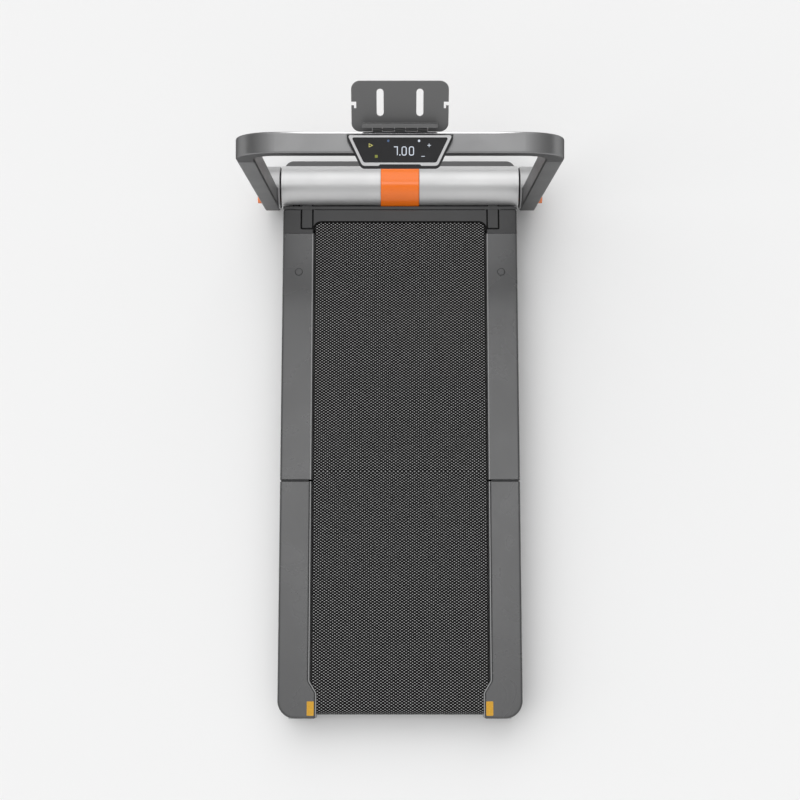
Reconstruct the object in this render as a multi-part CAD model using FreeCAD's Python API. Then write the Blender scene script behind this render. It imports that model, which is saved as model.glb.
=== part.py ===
# Folding walking pad with a folding handrail, modelled in millimetres.
# +Y is the front (motor end), +Z is up, and the floor is z = 0. Inside the functions
# y is measured from the fold line, and save() moves every piece to the final origin,
# which lies on the floor under the middle of the whole pad.
import FreeCAD, Part
import math
import os

V = FreeCAD.Vector

# General
OVERRUN = 5.0              # how far a cutting tool passes its work
SEAT_GAP = 0.3             # gap between curved faces of different bodies
RUNNING_FIT = 0.05         # radial clearance of a shaft in its bore
SLIP_FIT = 0.2             # gap round a piece slipped into a pocket
SAME_POINT = 1e-6          # points closer than this are one point

# Deck
RAIL_SEAM = 627.0          # fold line to the seam between front rail and front cover
COVER_LENGTH = 63.0        # rail seam to the front edge of the front cover
REAR_REACH = 575.0         # fold line to the tail
DECK_WIDTH = 590.0
FOOT_HEIGHT = 26.0
TRAY_THICKNESS = 3.0
TUBE_HEIGHT = 50.0
BOARD_THICKNESS = 16.0
BELT_THICKNESS = 2.0
BELT_BELOW_RAIL = 3.0
MOULDED_WALL = 2.4         # wall of rails, covers and fairing
RAIL_EDGE_RADIUS = 5.0
RAIL_END_GAP = 2.4         # rail ends stay this far from the fold line
RAIL_SEAM_GAP = 0.8        # shadow gap between front rail and front cover
RAIL_LIP_WIDTH = 2.6
SKIRT_FLANGE = 8.0         # inward flange along the bottom of a rail

# Frame
TUBE_WIDTH = 30.0
TUBE_WALL = 2.0
TUBE_FROM_EDGE = 13.0      # rail's outer face to the side tube
TUBE_PAST_SEAM = 1.0
TUBE_FROM_TAIL = 70.0      # rear end of the side tube to the tail
CROSS_WIDTH = 40.0
CROSS_TO_BELT = 3.4        # cross tubes to the belt's lower run
FRONT_CROSS_SHARES = (0.18, 0.55, 0.92)
REAR_CROSS_SHARES = (0.22, 0.62, 0.93)
ROLLER_PLATE = 6.0         # thickness of the roller carriers
PLATE_OVER_AXIS = 17.0
FLOOR_PLATE = 4.0
FLOOR_PLATE_OVERLAP = 28.0 # floor plate under the side tubes
FLOOR_PAST_AXIS = 13.0     # housing axis to the floor plate's front edge
BOARD_ON_TUBE = 13.0       # deck board's seat on each side tube
BOARD_EDGE_RADIUS = 6.0

# Running belt and rollers
BELT_SIDE_GAP = 5.0        # rail's inner edge to the belt
BELT_FOLD_GAP = 0.3        # each belt half ends this far from the fold line
FRONT_ROLLER_RADIUS = 22.0
REAR_ROLLER_RADIUS = 20.0
FRONT_ROLLER_SETBACK = 22.0
TAIL_OVERHANG = 9.5        # tail passes the belt by this much
ROLLER_SHAFT_RADIUS = 7.5
ROLLER_WALL = 4.0
BEARING_RADIUS = 15.0
BEARING_WIDTH = 11.0
IDLER_RADIUS = 9.0
IDLER_PAST_BELT = 7.0
IDLER_FROM_FOLD = 45.0
IDLER_STUB_RADIUS = 4.0
IDLER_STUB_REACH = 3.0     # stub end past the inner wall of the side tube
IDLER_BELOW_BOARD = 11.0   # board underside to the lower belt run at the fold
BOLT_RADIUS = 3.0
BOLT_HEAD_RADIUS = 5.5
BOLT_HEAD_LENGTH = 5.0
BOLT_SOCKET_SIDES = 6
BOLT_FROM_PLATE = 12.0
LUG_THICKNESS = 6.0
LUG_FROM_SHAFT = 8.0
LUG_HEIGHT = 28.0

# Fold hinges
FOLD_AXIS_ABOVE_RAIL = 0.6
LEAF_THICKNESS = 1.6
LEAF_FROM_FOLD = 0.3
LEAF_SIDE_GAP = 2.0
KNUCKLE_RADIUS = 2.0
HINGE_PIN_RADIUS = 1.0
KNUCKLE_SHARES = (0.0, 0.3, 0.7, 1.0)

# Front cover and the arms that carry the motor housing
BELT_OPENING_SETBACK = 31.0 # front cover's edge to the belt opening
BELT_OPENING_RADIUS = 22.0
COVER_CORNER_RADIUS = 6.0
COVER_SKIRT = 10.0
ARM_FROM_BELT_EDGE = 2.0   # rail's inner edge to the arm
ARM_WIDTH = 25.0
ARM_TO_PULLEY = 8.0
ARM_FROM_SEAM = 14.0
ARM_BELOW_RAIL = 2.0
ARM_THICKNESS = 8.0
ARM_OVER_FLOOR = 1.6       # arm's underside to the floor of its recess
ARM_LEG = 15.0
ARM_LEG_GAP = 4.7          # belt at the front roller to the arm's leg
ARM_GAP = 4.0              # dark gap round each arm
ARM_CORNER_RADIUS = 4.0

# Motor housing
HOUSING_FROM_DECK = 8.0    # front cover's edge to the housing
HOUSING_BELOW_RAIL = 18.0  # rail top down to the housing axis
HOUSING_RADIUS = 54.0
HOUSING_PAST_DECK = 4.0    # housing's end past the deck's side
HOUSING_WALL = 2.5
COVER_UNDER_FAIRING = 13.0 # covers end this far below the fairing's top
HOUSING_END_DEG = 200.0
HOUSING_EDGE = 1.2
BAND_WIDTH = 96.0
BAND_PROUD = 0.8
SUPPORT_THICKNESS = 8.0
SUPPORT_RIM = 9.0
PEDESTAL_WIDTH = 50.0      # foot of the discs inside the housing
END_PLATE_THICKNESS = 8.0
END_PLATE_INSET = 3.0
AXLE_RADIUS = 12.0
AXLE_FLANGE_RADIUS = 20.0
AXLE_FLANGE = 4.0
AXLE_NOSE_RADIUS = 5.5     # the axle narrows past the upright
PLUNGER_GROOVE_DEPTH = 5.0
PLUNGER_GROOVE_GAP = 0.5

# Motor, drive belt and controller
MOTOR_Y_OFFSET = 5.0
MOTOR_Z_OFFSET = 2.0
MOTOR_RADIUS = 36.0
MOTOR_FROM_BELT_EDGE = 5.0 # rail's inner edge to the motor's end
MOTOR_LENGTH = 140.0
MOTOR_EDGE = 3.0
MOTOR_RIBS = 5
MOTOR_RIB_WIDTH = 5.0
MOTOR_RIB_DEPTH = 1.5
MOTOR_SHAFT_RADIUS = 6.0
CRADLE_LENGTH = 80.0
CRADLE_WIDTH = 44.0
CRADLE_RISE = 12.0
PULLEY_TO_PLATE = 7.0
PULLEY_WIDTH = 14.0
PULLEY_FLANGE = 1.0
ROLLER_PULLEY_RADIUS = 20.0
MOTOR_PULLEY_RADIUS = 9.0
PULLEY_BOSS_RADIUS = 12.0
DRIVE_BELT_WIDTH = 11.0
DRIVE_BELT_THICKNESS = 2.2
PCB_FROM_BAND = 22.0
PCB_FROM_BRACKET = 2.4
PCB_FROM_ARM = 1.0
PCB_THICKNESS = 1.6
PCB_RISE = 8.0
STANDOFF_RADIUS = 3.0
STANDOFF_INSET = 6.0
HEAT_SINK_LENGTH = 70.0
HEAT_SINK_WIDTH = 24.0
HEAT_SINK_HEIGHT = 26.0
HEAT_SINK_BASE = 4.0
HEAT_SINK_FINS = 5
HEAT_SINK_FIN = 2.0
CAPACITOR_RADIUS = 9.0
CAPACITOR_HEIGHT = 22.0
CAPACITOR_PITCH = 22.0
CAPACITORS = 3

# Front fairing, power inlet and switch
FAIRING_INSET = 2.0        # housing's end to the fairing's side
FAIRING_PAST_HOUSING = 24.0
FAIRING_BELOW_AXIS = 20.0
FAIRING_CORNER_RADIUS = 30.0
FAIRING_EDGE_RADIUS = 6.0
FAIRING_FROM_DECK = 15.0
FAIRING_TO_HOUSING = 0.6
INLET_FROM_SWITCH = 40.0
INLET_WIDTH = 28.0
INLET_HEIGHT = 20.0
INLET_DEPTH = 22.0
INLET_WALL = 2.0
INLET_SOCKET_DEPTH = 16.0
INLET_PIN_WIDTH = 2.0
INLET_PIN_HEIGHT = 5.0
INLET_PIN_PITCH = 7.0
INLET_PIN_LENGTH = 11.0
SWITCH_FROM_WHEEL = 35.0
SWITCH_WIDTH = 15.0
ROCKER_WIDTH = 11.0
ROCKER_HEIGHT = 13.2
ROCKER_SETBACK = 7.5       # fairing's front face to the rocker's axis
ROCKER_FRONT = 6.0
ROCKER_DISH = 1.0
ROCKER_BACK = 3.0
ROCKER_GAP = 0.4
ROCKER_SWING = 1.6         # room above and below for the turning rocker
ROCKER_THROW_DEG = 8.0     # tilt to each side of square
ROCKER_PIN_RADIUS = 1.0
ROCKER_PIN_REACH = 1.0

# Transport wheels, feet and bumpers
WHEEL_FROM_SIDE = 52.0
WHEEL_FROM_FRONT = 32.0
WHEEL_RADIUS = 22.0
WHEEL_WIDTH = 18.0
WHEEL_CLEAR = 2.0          # wheel to the floor at rest
WHEEL_EDGE = 3.0
WHEEL_AXLE_RADIUS = 4.0
CHEEK_THICKNESS = 3.0
CHEEK_GAP = 0.6
CHEEK_RADIUS = 8.0
BRACKET_FOOT = 30.0        # length of the bracket's foot on the floor plate
CHEEK_HEIGHT = 4.0
WELL_GAP = 3.0
FOOT_RADIUS = 20.0
FOOT_TAPER = 3.0
FOOT_EDGE = 2.0
FOOT_FROM_TUBE = 12.0      # side tube's inner wall to the foot's axis
FRONT_FOOT_SHARES = (0.1, 0.85)
REAR_FOOT_SHARES = (0.12, 0.85)
BUMPER_FROM_EDGE = 41.0
BUMPER_FROM_SEAM = 100.0
BUMPER_RADIUS = 8.5
BUMPER_HEIGHT = 1.0
BUMPER_STEM_RADIUS = 4.0
BUMPER_EDGE = 0.6
VENT_LENGTH = 70.0
VENT_WIDTH = 5.0
VENT_PITCH = 14.0
VENTS = 6
VENT_SHARE = 0.68

# Tail
TAIL_RADIUS = 43.0
TAIL_STEP_FROM_END = 61.0
TAIL_STEP_LENGTH = 28.0
TAIL_STEP = 17.0
TAIL_INNER_RADIUS = 5.0
TAIL_STEP_RADIUS = 12.0
BOLT_HOLE_GAP = 2.0

# Handrail, in its own frame: x across, v forward, u up along the uprights
LEAN_DEG = 8.4
HANDRAIL_FOLD_DEG = 70.0
HUB_FROM_HOUSING = 3.0
HUB_WIDTH = 44.0
HUB_STEP = 1.0             # hub's radius under the housing's
HUB_EDGE = 2.0
HUB_WEB = 6.0
RAIL_SECTION_X = 39.0
RAIL_SECTION_V = 44.0
RAIL_SECTION_RADIUS = 3.6
RAIL_SECTION_WALL = 2.5
NOSE_WALL = 2.5            # axle's nose to the front face of the upright
UPRIGHT_FOOT = 42.0        # pivot to the upright's lower end
BAR_TOP = 806.0            # pivot to the top of the crossbar
BEND_RADIUS = 88.0         # outer radius of the bends
LEG_BELOW_BEND = 28.0
SPIGOT_LENGTH = 70.0
CAP_THICKNESS = 3.0
CAP_PLUG = 10.0

# Lock knobs
KNOB_RADIUS = 10.0
KNOB_LENGTH = 11.0
KNOB_NECK_RADIUS = 6.5
KNOB_NECK = 4.0
KNOB_EDGE = 1.5
PLUNGER_RADIUS = 4.0
PLUNGER_INTO_PLATE = 4.0

# Console, in its own frame: x across, b up the face, n out of the face
CONSOLE_TILT_DEG = 15.6
CONSOLE_BEHIND_BAR = 26.7  # crossbar's rear face to the console's lower edge
CONSOLE_OVER_BAR = 0.5
CONSOLE_HEIGHT = 62.0
CONSOLE_TOP_WIDTH = 214.0
CONSOLE_BOTTOM_WIDTH = 155.0
CONSOLE_TOP_RADIUS = 3.0
CONSOLE_BOTTOM_RADIUS = 9.0
CONSOLE_FRAME_HEIGHT = 3.0
CONSOLE_RIM = 2.2          # housing past the frame at the sides and below
CONSOLE_FRAME_SIDE = 6.0
CONSOLE_FRAME_BOTTOM = 6.5
CONSOLE_FRAME_TOP = 4.0
CONSOLE_GLASS = 2.6
CONSOLE_NOTCH_WIDTH = 82.0
CONSOLE_NOTCH_DEPTH = 3.0
CONSOLE_DROP = 21.0        # housing's lower edge below the crossbar's top
CONSOLE_BACK_SLOPE = 5.0
CONSOLE_FRONT_FOOT = 6.0
CONSOLE_POCKET = 3.4
CONSOLE_POCKET_RIM = 8.0
CONSOLE_BOARD = 1.6

# Tablet holder, in its own frame: x across, b up the plate, n out of its front
TABLET_TILT_DEG = 31.6
TABLET_WIDTH = 199.0
TABLET_HEIGHT = 104.0
TABLET_BELOW_HINGE = 4.3   # hinge axis to the plate's lower edge beside the hinge
TABLET_THICKNESS = 3.0
TABLET_RADIUS = 18.0
TABLET_BELOW_TOP = 6.0     # hinge axis below the crossbar's top
TABLET_HINGE_RADIUS = 3.8
TABLET_HINGE_WIDTH = 114.0
TABLET_PIN_RADIUS = 1.8
TABLET_KNUCKLE_SHARES = (0.0, 0.18, 0.4, 0.6, 0.82, 1.0)
TABLET_KNUCKLE_GAP = 0.4
TABLET_BRACKET = 1.6
TABLET_BRACKET_HEIGHT = 20.0
SLOT_X = 40.6
SLOT_WIDTH = 14.2
SLOT_START = 29.0
SLOT_END = 87.8
NOTCH_START = 51.8
NOTCH_END = 60.1
NOTCH_DEPTH = 10.0
NOTCH_HOOK = 4.5
NOTCH_HOOK_START = 45.6
LEDGE_WIDTH = 154.0
LEDGE_START = 14.6
LEDGE_DEPTH = 24.0
LEDGE_THICKNESS = 2.2
LEDGE_LIP = 5.0

# Heights and places worked out from the sizes above
RAIL_WIDTH = (TUBE_FROM_EDGE + ROLLER_PLATE + PULLEY_TO_PLATE + PULLEY_WIDTH + ARM_TO_PULLEY + ARM_WIDTH
              + ARM_FROM_BELT_EDGE)
HALF_DECK = DECK_WIDTH / 2
RAIL_INNER = HALF_DECK - RAIL_WIDTH
TRAY_TOP = FOOT_HEIGHT + TRAY_THICKNESS
TUBE_TOP = TRAY_TOP + TUBE_HEIGHT
BOARD_TOP = TUBE_TOP + BOARD_THICKNESS
BELT_TOP = BOARD_TOP + BELT_THICKNESS
RAIL_TOP = BELT_TOP + BELT_BELOW_RAIL
FOLD_AXIS_Z = RAIL_TOP + FOLD_AXIS_ABOVE_RAIL
DECK_FRONT = RAIL_SEAM + COVER_LENGTH
HOUSING_Y = DECK_FRONT + HOUSING_FROM_DECK + HOUSING_RADIUS
HOUSING_Z = RAIL_TOP - HOUSING_BELOW_RAIL
FRONT_REACH = HOUSING_Y + HOUSING_RADIUS + FAIRING_PAST_HOUSING
Y_ORIGIN = (REAR_REACH - FRONT_REACH) / 2
TUBE_FRONT = RAIL_SEAM + TUBE_PAST_SEAM
TUBE_REAR = REAR_REACH - TUBE_FROM_TAIL
TUBE_OUTER = HALF_DECK - TUBE_FROM_EDGE
TUBE_INNER = TUBE_OUTER - TUBE_WIDTH
PLATE_INNER = TUBE_OUTER - ROLLER_PLATE
FRAME_END = LEAF_FROM_FOLD + LEAF_THICKNESS
FLOOR_TOP = TRAY_TOP + FLOOR_PLATE
FLOOR_PLATE_REAR = TUBE_FRONT - FLOOR_PLATE_OVERLAP
FLOOR_PLATE_FRONT = HOUSING_Y + FLOOR_PAST_AXIS
BOARD_HALF = TUBE_INNER + BOARD_ON_TUBE
BELT_WIDTH = 2 * (RAIL_INNER - BELT_SIDE_GAP)
ROLLER_LENGTH = BELT_WIDTH
IDLER_LENGTH = BELT_WIDTH + 2 * IDLER_PAST_BELT
FRONT_ROLLER_Y = DECK_FRONT - FRONT_ROLLER_SETBACK
FRONT_ROLLER_Z = BOARD_TOP - FRONT_ROLLER_RADIUS - SEAT_GAP
REAR_ROLLER_Y = -(REAR_REACH - TAIL_OVERHANG - BELT_THICKNESS - SEAT_GAP - REAR_ROLLER_RADIUS)
REAR_ROLLER_Z = BOARD_TOP - REAR_ROLLER_RADIUS - SEAT_GAP
CROSS_TOP = FRONT_ROLLER_Z - FRONT_ROLLER_RADIUS - SEAT_GAP - BELT_THICKNESS - CROSS_TO_BELT
IDLER_Z = TUBE_TOP - IDLER_BELOW_BOARD - SEAT_GAP - IDLER_RADIUS
BELT_REACH = FRONT_ROLLER_Y + FRONT_ROLLER_RADIUS + SEAT_GAP + BELT_THICKNESS
BELT_OPENING_FRONT = DECK_FRONT - BELT_OPENING_SETBACK
ARM_INNER = RAIL_INNER + ARM_FROM_BELT_EDGE
ARM_REAR = RAIL_SEAM + ARM_FROM_SEAM
MOTOR_Y = HOUSING_Y + MOTOR_Y_OFFSET
MOTOR_Z = HOUSING_Z + MOTOR_Z_OFFSET
MOTOR_START = -(RAIL_INNER - MOTOR_FROM_BELT_EDGE)
HALF_HOUSING = HALF_DECK + HOUSING_PAST_DECK
END_PLATE_OUTER = HALF_HOUSING - END_PLATE_INSET
END_PLATE_INNER = END_PLATE_OUTER - END_PLATE_THICKNESS
PULLEY_OUTER = -(PLATE_INNER - PULLEY_TO_PLATE)
PULLEY_INNER = PULLEY_OUTER + PULLEY_WIDTH
PULLEY_X = (PULLEY_OUTER + PULLEY_INNER) / 2
FAIRING_HALF = HALF_HOUSING - FAIRING_INSET
FAIRING_REAR = DECK_FRONT + FAIRING_FROM_DECK
FAIRING_TOP = HOUSING_Z - FAIRING_BELOW_AXIS
FAIRING_MIDDLE = (FOOT_HEIGHT + FAIRING_TOP) / 2
FLOOR_HALF = FAIRING_HALF - MOULDED_WALL - SLIP_FIT
WHEEL_X = FAIRING_HALF - WHEEL_FROM_SIDE
WHEEL_Y = FRONT_REACH - WHEEL_FROM_FRONT
WHEEL_Z = WHEEL_RADIUS + WHEEL_CLEAR
CHEEK_REAR = FLOOR_PLATE_FRONT - BRACKET_FOOT
CHEEK_INNER = WHEEL_WIDTH / 2 + CHEEK_GAP
CHEEK_OUTER = CHEEK_INNER + CHEEK_THICKNESS
ARM_LEG_REAR = BELT_REACH + ARM_LEG_GAP
PCB_START = BAND_WIDTH / 2 + PCB_FROM_BAND
PCB_END = WHEEL_X - CHEEK_OUTER - PCB_FROM_BRACKET
PCB_REAR = ARM_LEG_REAR + ARM_LEG + PCB_FROM_ARM
SWITCH_X = WHEEL_X - SWITCH_FROM_WHEEL
INLET_X = SWITCH_X - INLET_FROM_SWITCH
ROCKER_Y = FRONT_REACH - ROCKER_SETBACK
FOOT_X = TUBE_INNER - FOOT_FROM_TUBE
BUMPER_X = HALF_DECK - BUMPER_FROM_EDGE
BUMPER_Y = RAIL_SEAM - BUMPER_FROM_SEAM
TAIL_STEP_END = REAR_REACH - TAIL_STEP_FROM_END
TAIL_STEP_START = TAIL_STEP_END - TAIL_STEP_LENGTH
HUB_INNER = HALF_HOUSING + HUB_FROM_HOUSING
HUB_OUTER = HUB_INNER + HUB_WIDTH
HUB_RADIUS = HOUSING_RADIUS - HUB_STEP
UPRIGHT_INNER = HUB_OUTER - RAIL_SECTION_X
UPRIGHT_FRONT = -(AXLE_NOSE_RADIUS + NOSE_WALL)
UPRIGHT_BEHIND = RAIL_SECTION_V - UPRIGHT_FRONT
UPRIGHT_V = UPRIGHT_FRONT - RAIL_SECTION_V / 2
BEND_U = BAR_TOP - BEND_RADIUS
BEND_X = HUB_OUTER - BEND_RADIUS
LEG_U = BEND_U - LEG_BELOW_BEND
CONSOLE_V = -UPRIGHT_BEHIND - CONSOLE_BEHIND_BAR
CONSOLE_U = BAR_TOP + CONSOLE_OVER_BAR
TABLET_V = UPRIGHT_FRONT + TABLET_BRACKET + TABLET_HINGE_RADIUS + SEAT_GAP
TABLET_U = BAR_TOP - TABLET_BELOW_TOP

AXES = {
    "x": lambda s, a, b: V(s, a, b),
    "y": lambda s, a, b: V(a, s, b),
    "z": lambda s, a, b: V(a, b, s),
}


# Building blocks
def outline(corners, place):
    """Closed wire through (a, b, radius) corners, each rounded by a tangent arc."""
    count = len(corners)
    arcs = []
    for index, (a, b, radius) in enumerate(corners):
        before = corners[index - 1]
        after = corners[(index + 1) % count]
        back = V(before[0] - a, before[1] - b, 0).normalize()
        ahead = V(after[0] - a, after[1] - b, 0).normalize()
        corner = V(a, b, 0)
        if radius <= 0:
            arcs.append((corner, None, corner))
            continue
        half_angle = back.getAngle(ahead) / 2
        reach = radius / math.tan(half_angle)
        bisector = (back + ahead).normalize()
        middle = corner + bisector * (radius / math.sin(half_angle) - radius)
        arcs.append((corner + back * reach, middle, corner + ahead * reach))
    edges = []
    for index, (start, middle, end) in enumerate(arcs):
        if middle is not None:
            points = [place(p.x, p.y) for p in (start, middle, end)]
            edges.append(Part.Arc(*points).toShape())
        following = arcs[(index + 1) % count][0]
        if end.distanceToPoint(following) > SAME_POINT:
            edges.append(Part.makeLine(place(end.x, end.y), place(following.x, following.y)))
    return Part.Wire(edges)


def prism(axis, start, end, corners):
    """Extrude a rounded outline along an axis, from start to end."""
    place = AXES[axis]
    wire = outline(corners, lambda a, b: place(start, a, b))
    return Part.Face(wire).extrude(place(end - start, 0, 0))


def rod(axis, start, end, a, b, radius):
    """Cylinder along an axis, from start to end."""
    place = AXES[axis]
    return Part.makeCylinder(radius, abs(end - start), place(min(start, end), a, b), place(1, 0, 0))


def box(x0, x1, y0, y1, z0, z1):
    """Box between two corners."""
    return Part.makeBox(x1 - x0, y1 - y0, z1 - z0, V(x0, y0, z0))


def rectangle(a0, a1, b0, b1, radius):
    """Corners of a rectangle with one corner radius."""
    return [(a0, b0, radius), (a1, b0, radius), (a1, b1, radius), (a0, b1, radius)]


def mirrored(shape):
    """The same piece on the other side of the pad."""
    return shape.mirror(V(0, 0, 0), V(1, 0, 0))


def pair(shape):
    """A piece and its mirror image as two solids of one node."""
    return Part.makeCompound([shape, mirrored(shape)])


def fused(shapes):
    """One solid from overlapping or touching shapes."""
    return shapes[0].multiFuse(shapes[1:]).removeSplitter()


def round_edges(shape, radius, wanted):
    """Fillet the edges for which wanted(edge) is true."""
    edges = [edge for edge in shape.Edges if wanted(edge)]
    return shape.makeFillet(radius, edges)


def save(node, shape):
    """Move a piece to the final origin and write it."""
    placed = shape.copy()
    placed.translate(V(0, Y_ORIGIN, 0))
    placed.exportStep("parts/" + node + ".step")


def on_handrail(shape):
    """Place a piece from the handrail's frame: v forward, u up along the uprights."""
    placed = shape.copy()
    turn = FreeCAD.Rotation(V(1, 0, 0), LEAN_DEG)
    placed.Placement = FreeCAD.Placement(V(0, HOUSING_Y, HOUSING_Z), turn).multiply(placed.Placement)
    return placed


def on_face(shape, v, u, tilt_deg):
    """Place a piece from a tilted face's frame into the handrail's frame."""
    placed = shape.copy()
    turn = FreeCAD.Rotation(V(1, 0, 0), tilt_deg)
    placed.Placement = FreeCAD.Placement(V(0, v, u), turn).multiply(placed.Placement)
    return placed


# Side rails and front cover
def rail_shell(plan, plan_inside):
    """Moulded rail: a skin over the plan outline, open underneath."""
    outer = prism("z", FOOT_HEIGHT, RAIL_TOP, plan)
    outer_edge = HALF_DECK - RAIL_EDGE_RADIUS

    def is_outer_top(edge):
        bounds = edge.BoundBox
        on_top = bounds.ZMin > RAIL_TOP - MOULDED_WALL
        return on_top and bounds.XMax > outer_edge and bounds.YLength > MOULDED_WALL

    outer = round_edges(outer, RAIL_EDGE_RADIUS, is_outer_top)
    inside = prism("z", FOOT_HEIGHT - OVERRUN, RAIL_TOP - MOULDED_WALL, plan_inside)
    return outer.cut(inside)


def clear_board_side(shell, y0, y1):
    """Open the rail's inner wall below the deck board's top."""
    return shell.cut(box(0, RAIL_INNER + RAIL_LIP_WIDTH + MOULDED_WALL, y0, y1, 0, BOARD_TOP))


def front_rail():
    """Right front side rail with a lip on the deck board and a bottom flange."""
    start = RAIL_END_GAP
    plan = rectangle(RAIL_INNER, HALF_DECK, start, RAIL_SEAM - RAIL_SEAM_GAP, 0)
    inside = rectangle(RAIL_INNER + RAIL_LIP_WIDTH, HALF_DECK - MOULDED_WALL,
                       start - OVERRUN, RAIL_SEAM + OVERRUN, 0)
    shell = clear_board_side(rail_shell(plan, inside), start - OVERRUN, RAIL_SEAM + OVERRUN)
    flange = box(HALF_DECK - MOULDED_WALL - SKIRT_FLANGE, HALF_DECK - MOULDED_WALL,
                 start, RAIL_SEAM - RAIL_SEAM_GAP, FOOT_HEIGHT, FOOT_HEIGHT + MOULDED_WALL)
    socket = rod("z", RAIL_TOP - MOULDED_WALL - OVERRUN, RAIL_TOP + OVERRUN,
                 BUMPER_X, BUMPER_Y, BUMPER_STEM_RADIUS)
    return fused([shell, flange]).cut(socket)


def tail_plan(inset):
    """Plan outline of a rear rail, drawn in by inset."""
    inner = RAIL_INNER + inset
    tail_inner = RAIL_INNER - TAIL_STEP + inset
    outer = HALF_DECK - inset
    end = -REAR_REACH + inset
    start = -RAIL_END_GAP + (OVERRUN if inset else 0)
    return [
        (inner, start, 0),
        (inner, -TAIL_STEP_START, TAIL_STEP_RADIUS),
        (tail_inner, -TAIL_STEP_END, TAIL_STEP_RADIUS),
        (tail_inner, end, TAIL_INNER_RADIUS - inset),
        (outer, end, TAIL_RADIUS - inset),
        (outer, start, 0),
    ]


def rear_rail():
    """Right rear side rail, ending in the rounded tail over the rear roller."""
    shell = rail_shell(tail_plan(0), tail_plan(MOULDED_WALL))
    shell = clear_board_side(shell, -TAIL_STEP_START, OVERRUN)
    belt_end = REAR_ROLLER_Y - REAR_ROLLER_RADIUS - BELT_THICKNESS - RAIL_LIP_WIDTH
    shell = shell.cut(box(0, RAIL_INNER + RAIL_LIP_WIDTH, belt_end, -TAIL_STEP_START, 0,
                          RAIL_TOP - MOULDED_WALL))
    flange = box(HALF_DECK - MOULDED_WALL - SKIRT_FLANGE, HALF_DECK - MOULDED_WALL,
                 -TAIL_STEP_START, -RAIL_END_GAP, FOOT_HEIGHT, FOOT_HEIGHT + MOULDED_WALL)
    bolt_hole = rod("y", -REAR_REACH - OVERRUN, -REAR_REACH + MOULDED_WALL + OVERRUN,
                    PLATE_INNER - BOLT_FROM_PLATE, REAR_ROLLER_Z, BOLT_HEAD_RADIUS + BOLT_HOLE_GAP)
    return fused([shell, flange]).cut(bolt_hole)


def arm_recess(wall, bottom, top, front):
    """Recess round the right arm, grown by wall, open at the front."""
    gap = ARM_GAP + wall
    return prism("z", bottom, top, [
        (ARM_INNER - gap, front, 0),
        (ARM_INNER - gap, ARM_REAR - gap, ARM_CORNER_RADIUS),
        (ARM_INNER + ARM_WIDTH + gap, ARM_REAR - gap, ARM_CORNER_RADIUS),
        (ARM_INNER + ARM_WIDTH + gap, front, 0),
    ])


def front_cover():
    """Cover across the front of the deck, round the belt opening and the two arms."""
    plan = rectangle(-HALF_DECK, HALF_DECK, RAIL_SEAM, DECK_FRONT, 0)
    plan[2] = (HALF_DECK, DECK_FRONT, COVER_CORNER_RADIUS)
    plan[3] = (-HALF_DECK, DECK_FRONT, COVER_CORNER_RADIUS)
    body = prism("z", FOOT_HEIGHT, RAIL_TOP, plan)

    def is_top_rim(edge):
        return edge.BoundBox.ZMin > RAIL_TOP - MOULDED_WALL and edge.BoundBox.YMax > RAIL_SEAM + MOULDED_WALL

    body = round_edges(body, RAIL_EDGE_RADIUS, is_top_rim)
    inner_half = HALF_DECK - MOULDED_WALL
    inside = box(-inner_half, inner_half, RAIL_SEAM - OVERRUN, DECK_FRONT - MOULDED_WALL,
                 0, RAIL_TOP - MOULDED_WALL)
    low_front = box(-inner_half, inner_half, RAIL_SEAM, DECK_FRONT + OVERRUN, 0, RAIL_TOP - COVER_SKIRT)
    belt_opening = prism("z", BOARD_TOP - OVERRUN, RAIL_TOP + OVERRUN, [
        (-RAIL_INNER, RAIL_SEAM - OVERRUN, 0),
        (RAIL_INNER, RAIL_SEAM - OVERRUN, 0),
        (RAIL_INNER, BELT_OPENING_FRONT, BELT_OPENING_RADIUS),
        (-RAIL_INNER, BELT_OPENING_FRONT, BELT_OPENING_RADIUS),
    ])
    drive_room = box(PULLEY_OUTER - SLIP_FIT, PULLEY_INNER + SLIP_FIT, DECK_FRONT - OVERRUN,
                     DECK_FRONT + OVERRUN, 0, RAIL_TOP - MOULDED_WALL)
    for cutter in (inside, low_front, belt_opening, drive_room):
        body = body.cut(cutter)
    floor_top = RAIL_TOP - ARM_BELOW_RAIL - ARM_THICKNESS - ARM_OVER_FLOOR
    tub = arm_recess(MOULDED_WALL, floor_top - MOULDED_WALL, RAIL_TOP - MOULDED_WALL / 2, DECK_FRONT)
    hollow = arm_recess(0, floor_top, RAIL_TOP + OVERRUN, DECK_FRONT + OVERRUN)
    return fused([body, tub, mirrored(tub)]).cut(hollow).cut(mirrored(hollow))


# Frames, boards and trays
def square_tube(x0, x1, y0, y1, z0, z1, hollow_axis):
    """Rectangular steel tube, open at both ends along its axis."""
    tube = box(x0, x1, y0, y1, z0, z1)
    wall = TUBE_WALL
    if hollow_axis == "y":
        return tube.cut(box(x0 + wall, x1 - wall, y0 - OVERRUN, y1 + OVERRUN, z0 + wall, z1 - wall))
    return tube.cut(box(x0 - OVERRUN, x1 + OVERRUN, y0 + wall, y1 - wall, z0 + wall, z1 - wall))


def cross_tubes(length, shares, direction):
    """Cross tubes between the side tubes, set out along the frame."""
    tubes = []
    for share in shares:
        middle = direction * length * share
        tubes.append(square_tube(-TUBE_INNER, TUBE_INNER, middle - CROSS_WIDTH / 2, middle + CROSS_WIDTH / 2,
                                 TRAY_TOP, CROSS_TOP, "x"))
    return tubes


def idler_holes(direction):
    """Cutter for the idler's bearing holes in both inner tube walls."""
    return rod("x", -TUBE_INNER - TUBE_WALL - OVERRUN, TUBE_INNER + TUBE_WALL + OVERRUN,
               direction * IDLER_FROM_FOLD, IDLER_Z, IDLER_STUB_RADIUS + RUNNING_FIT)


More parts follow.
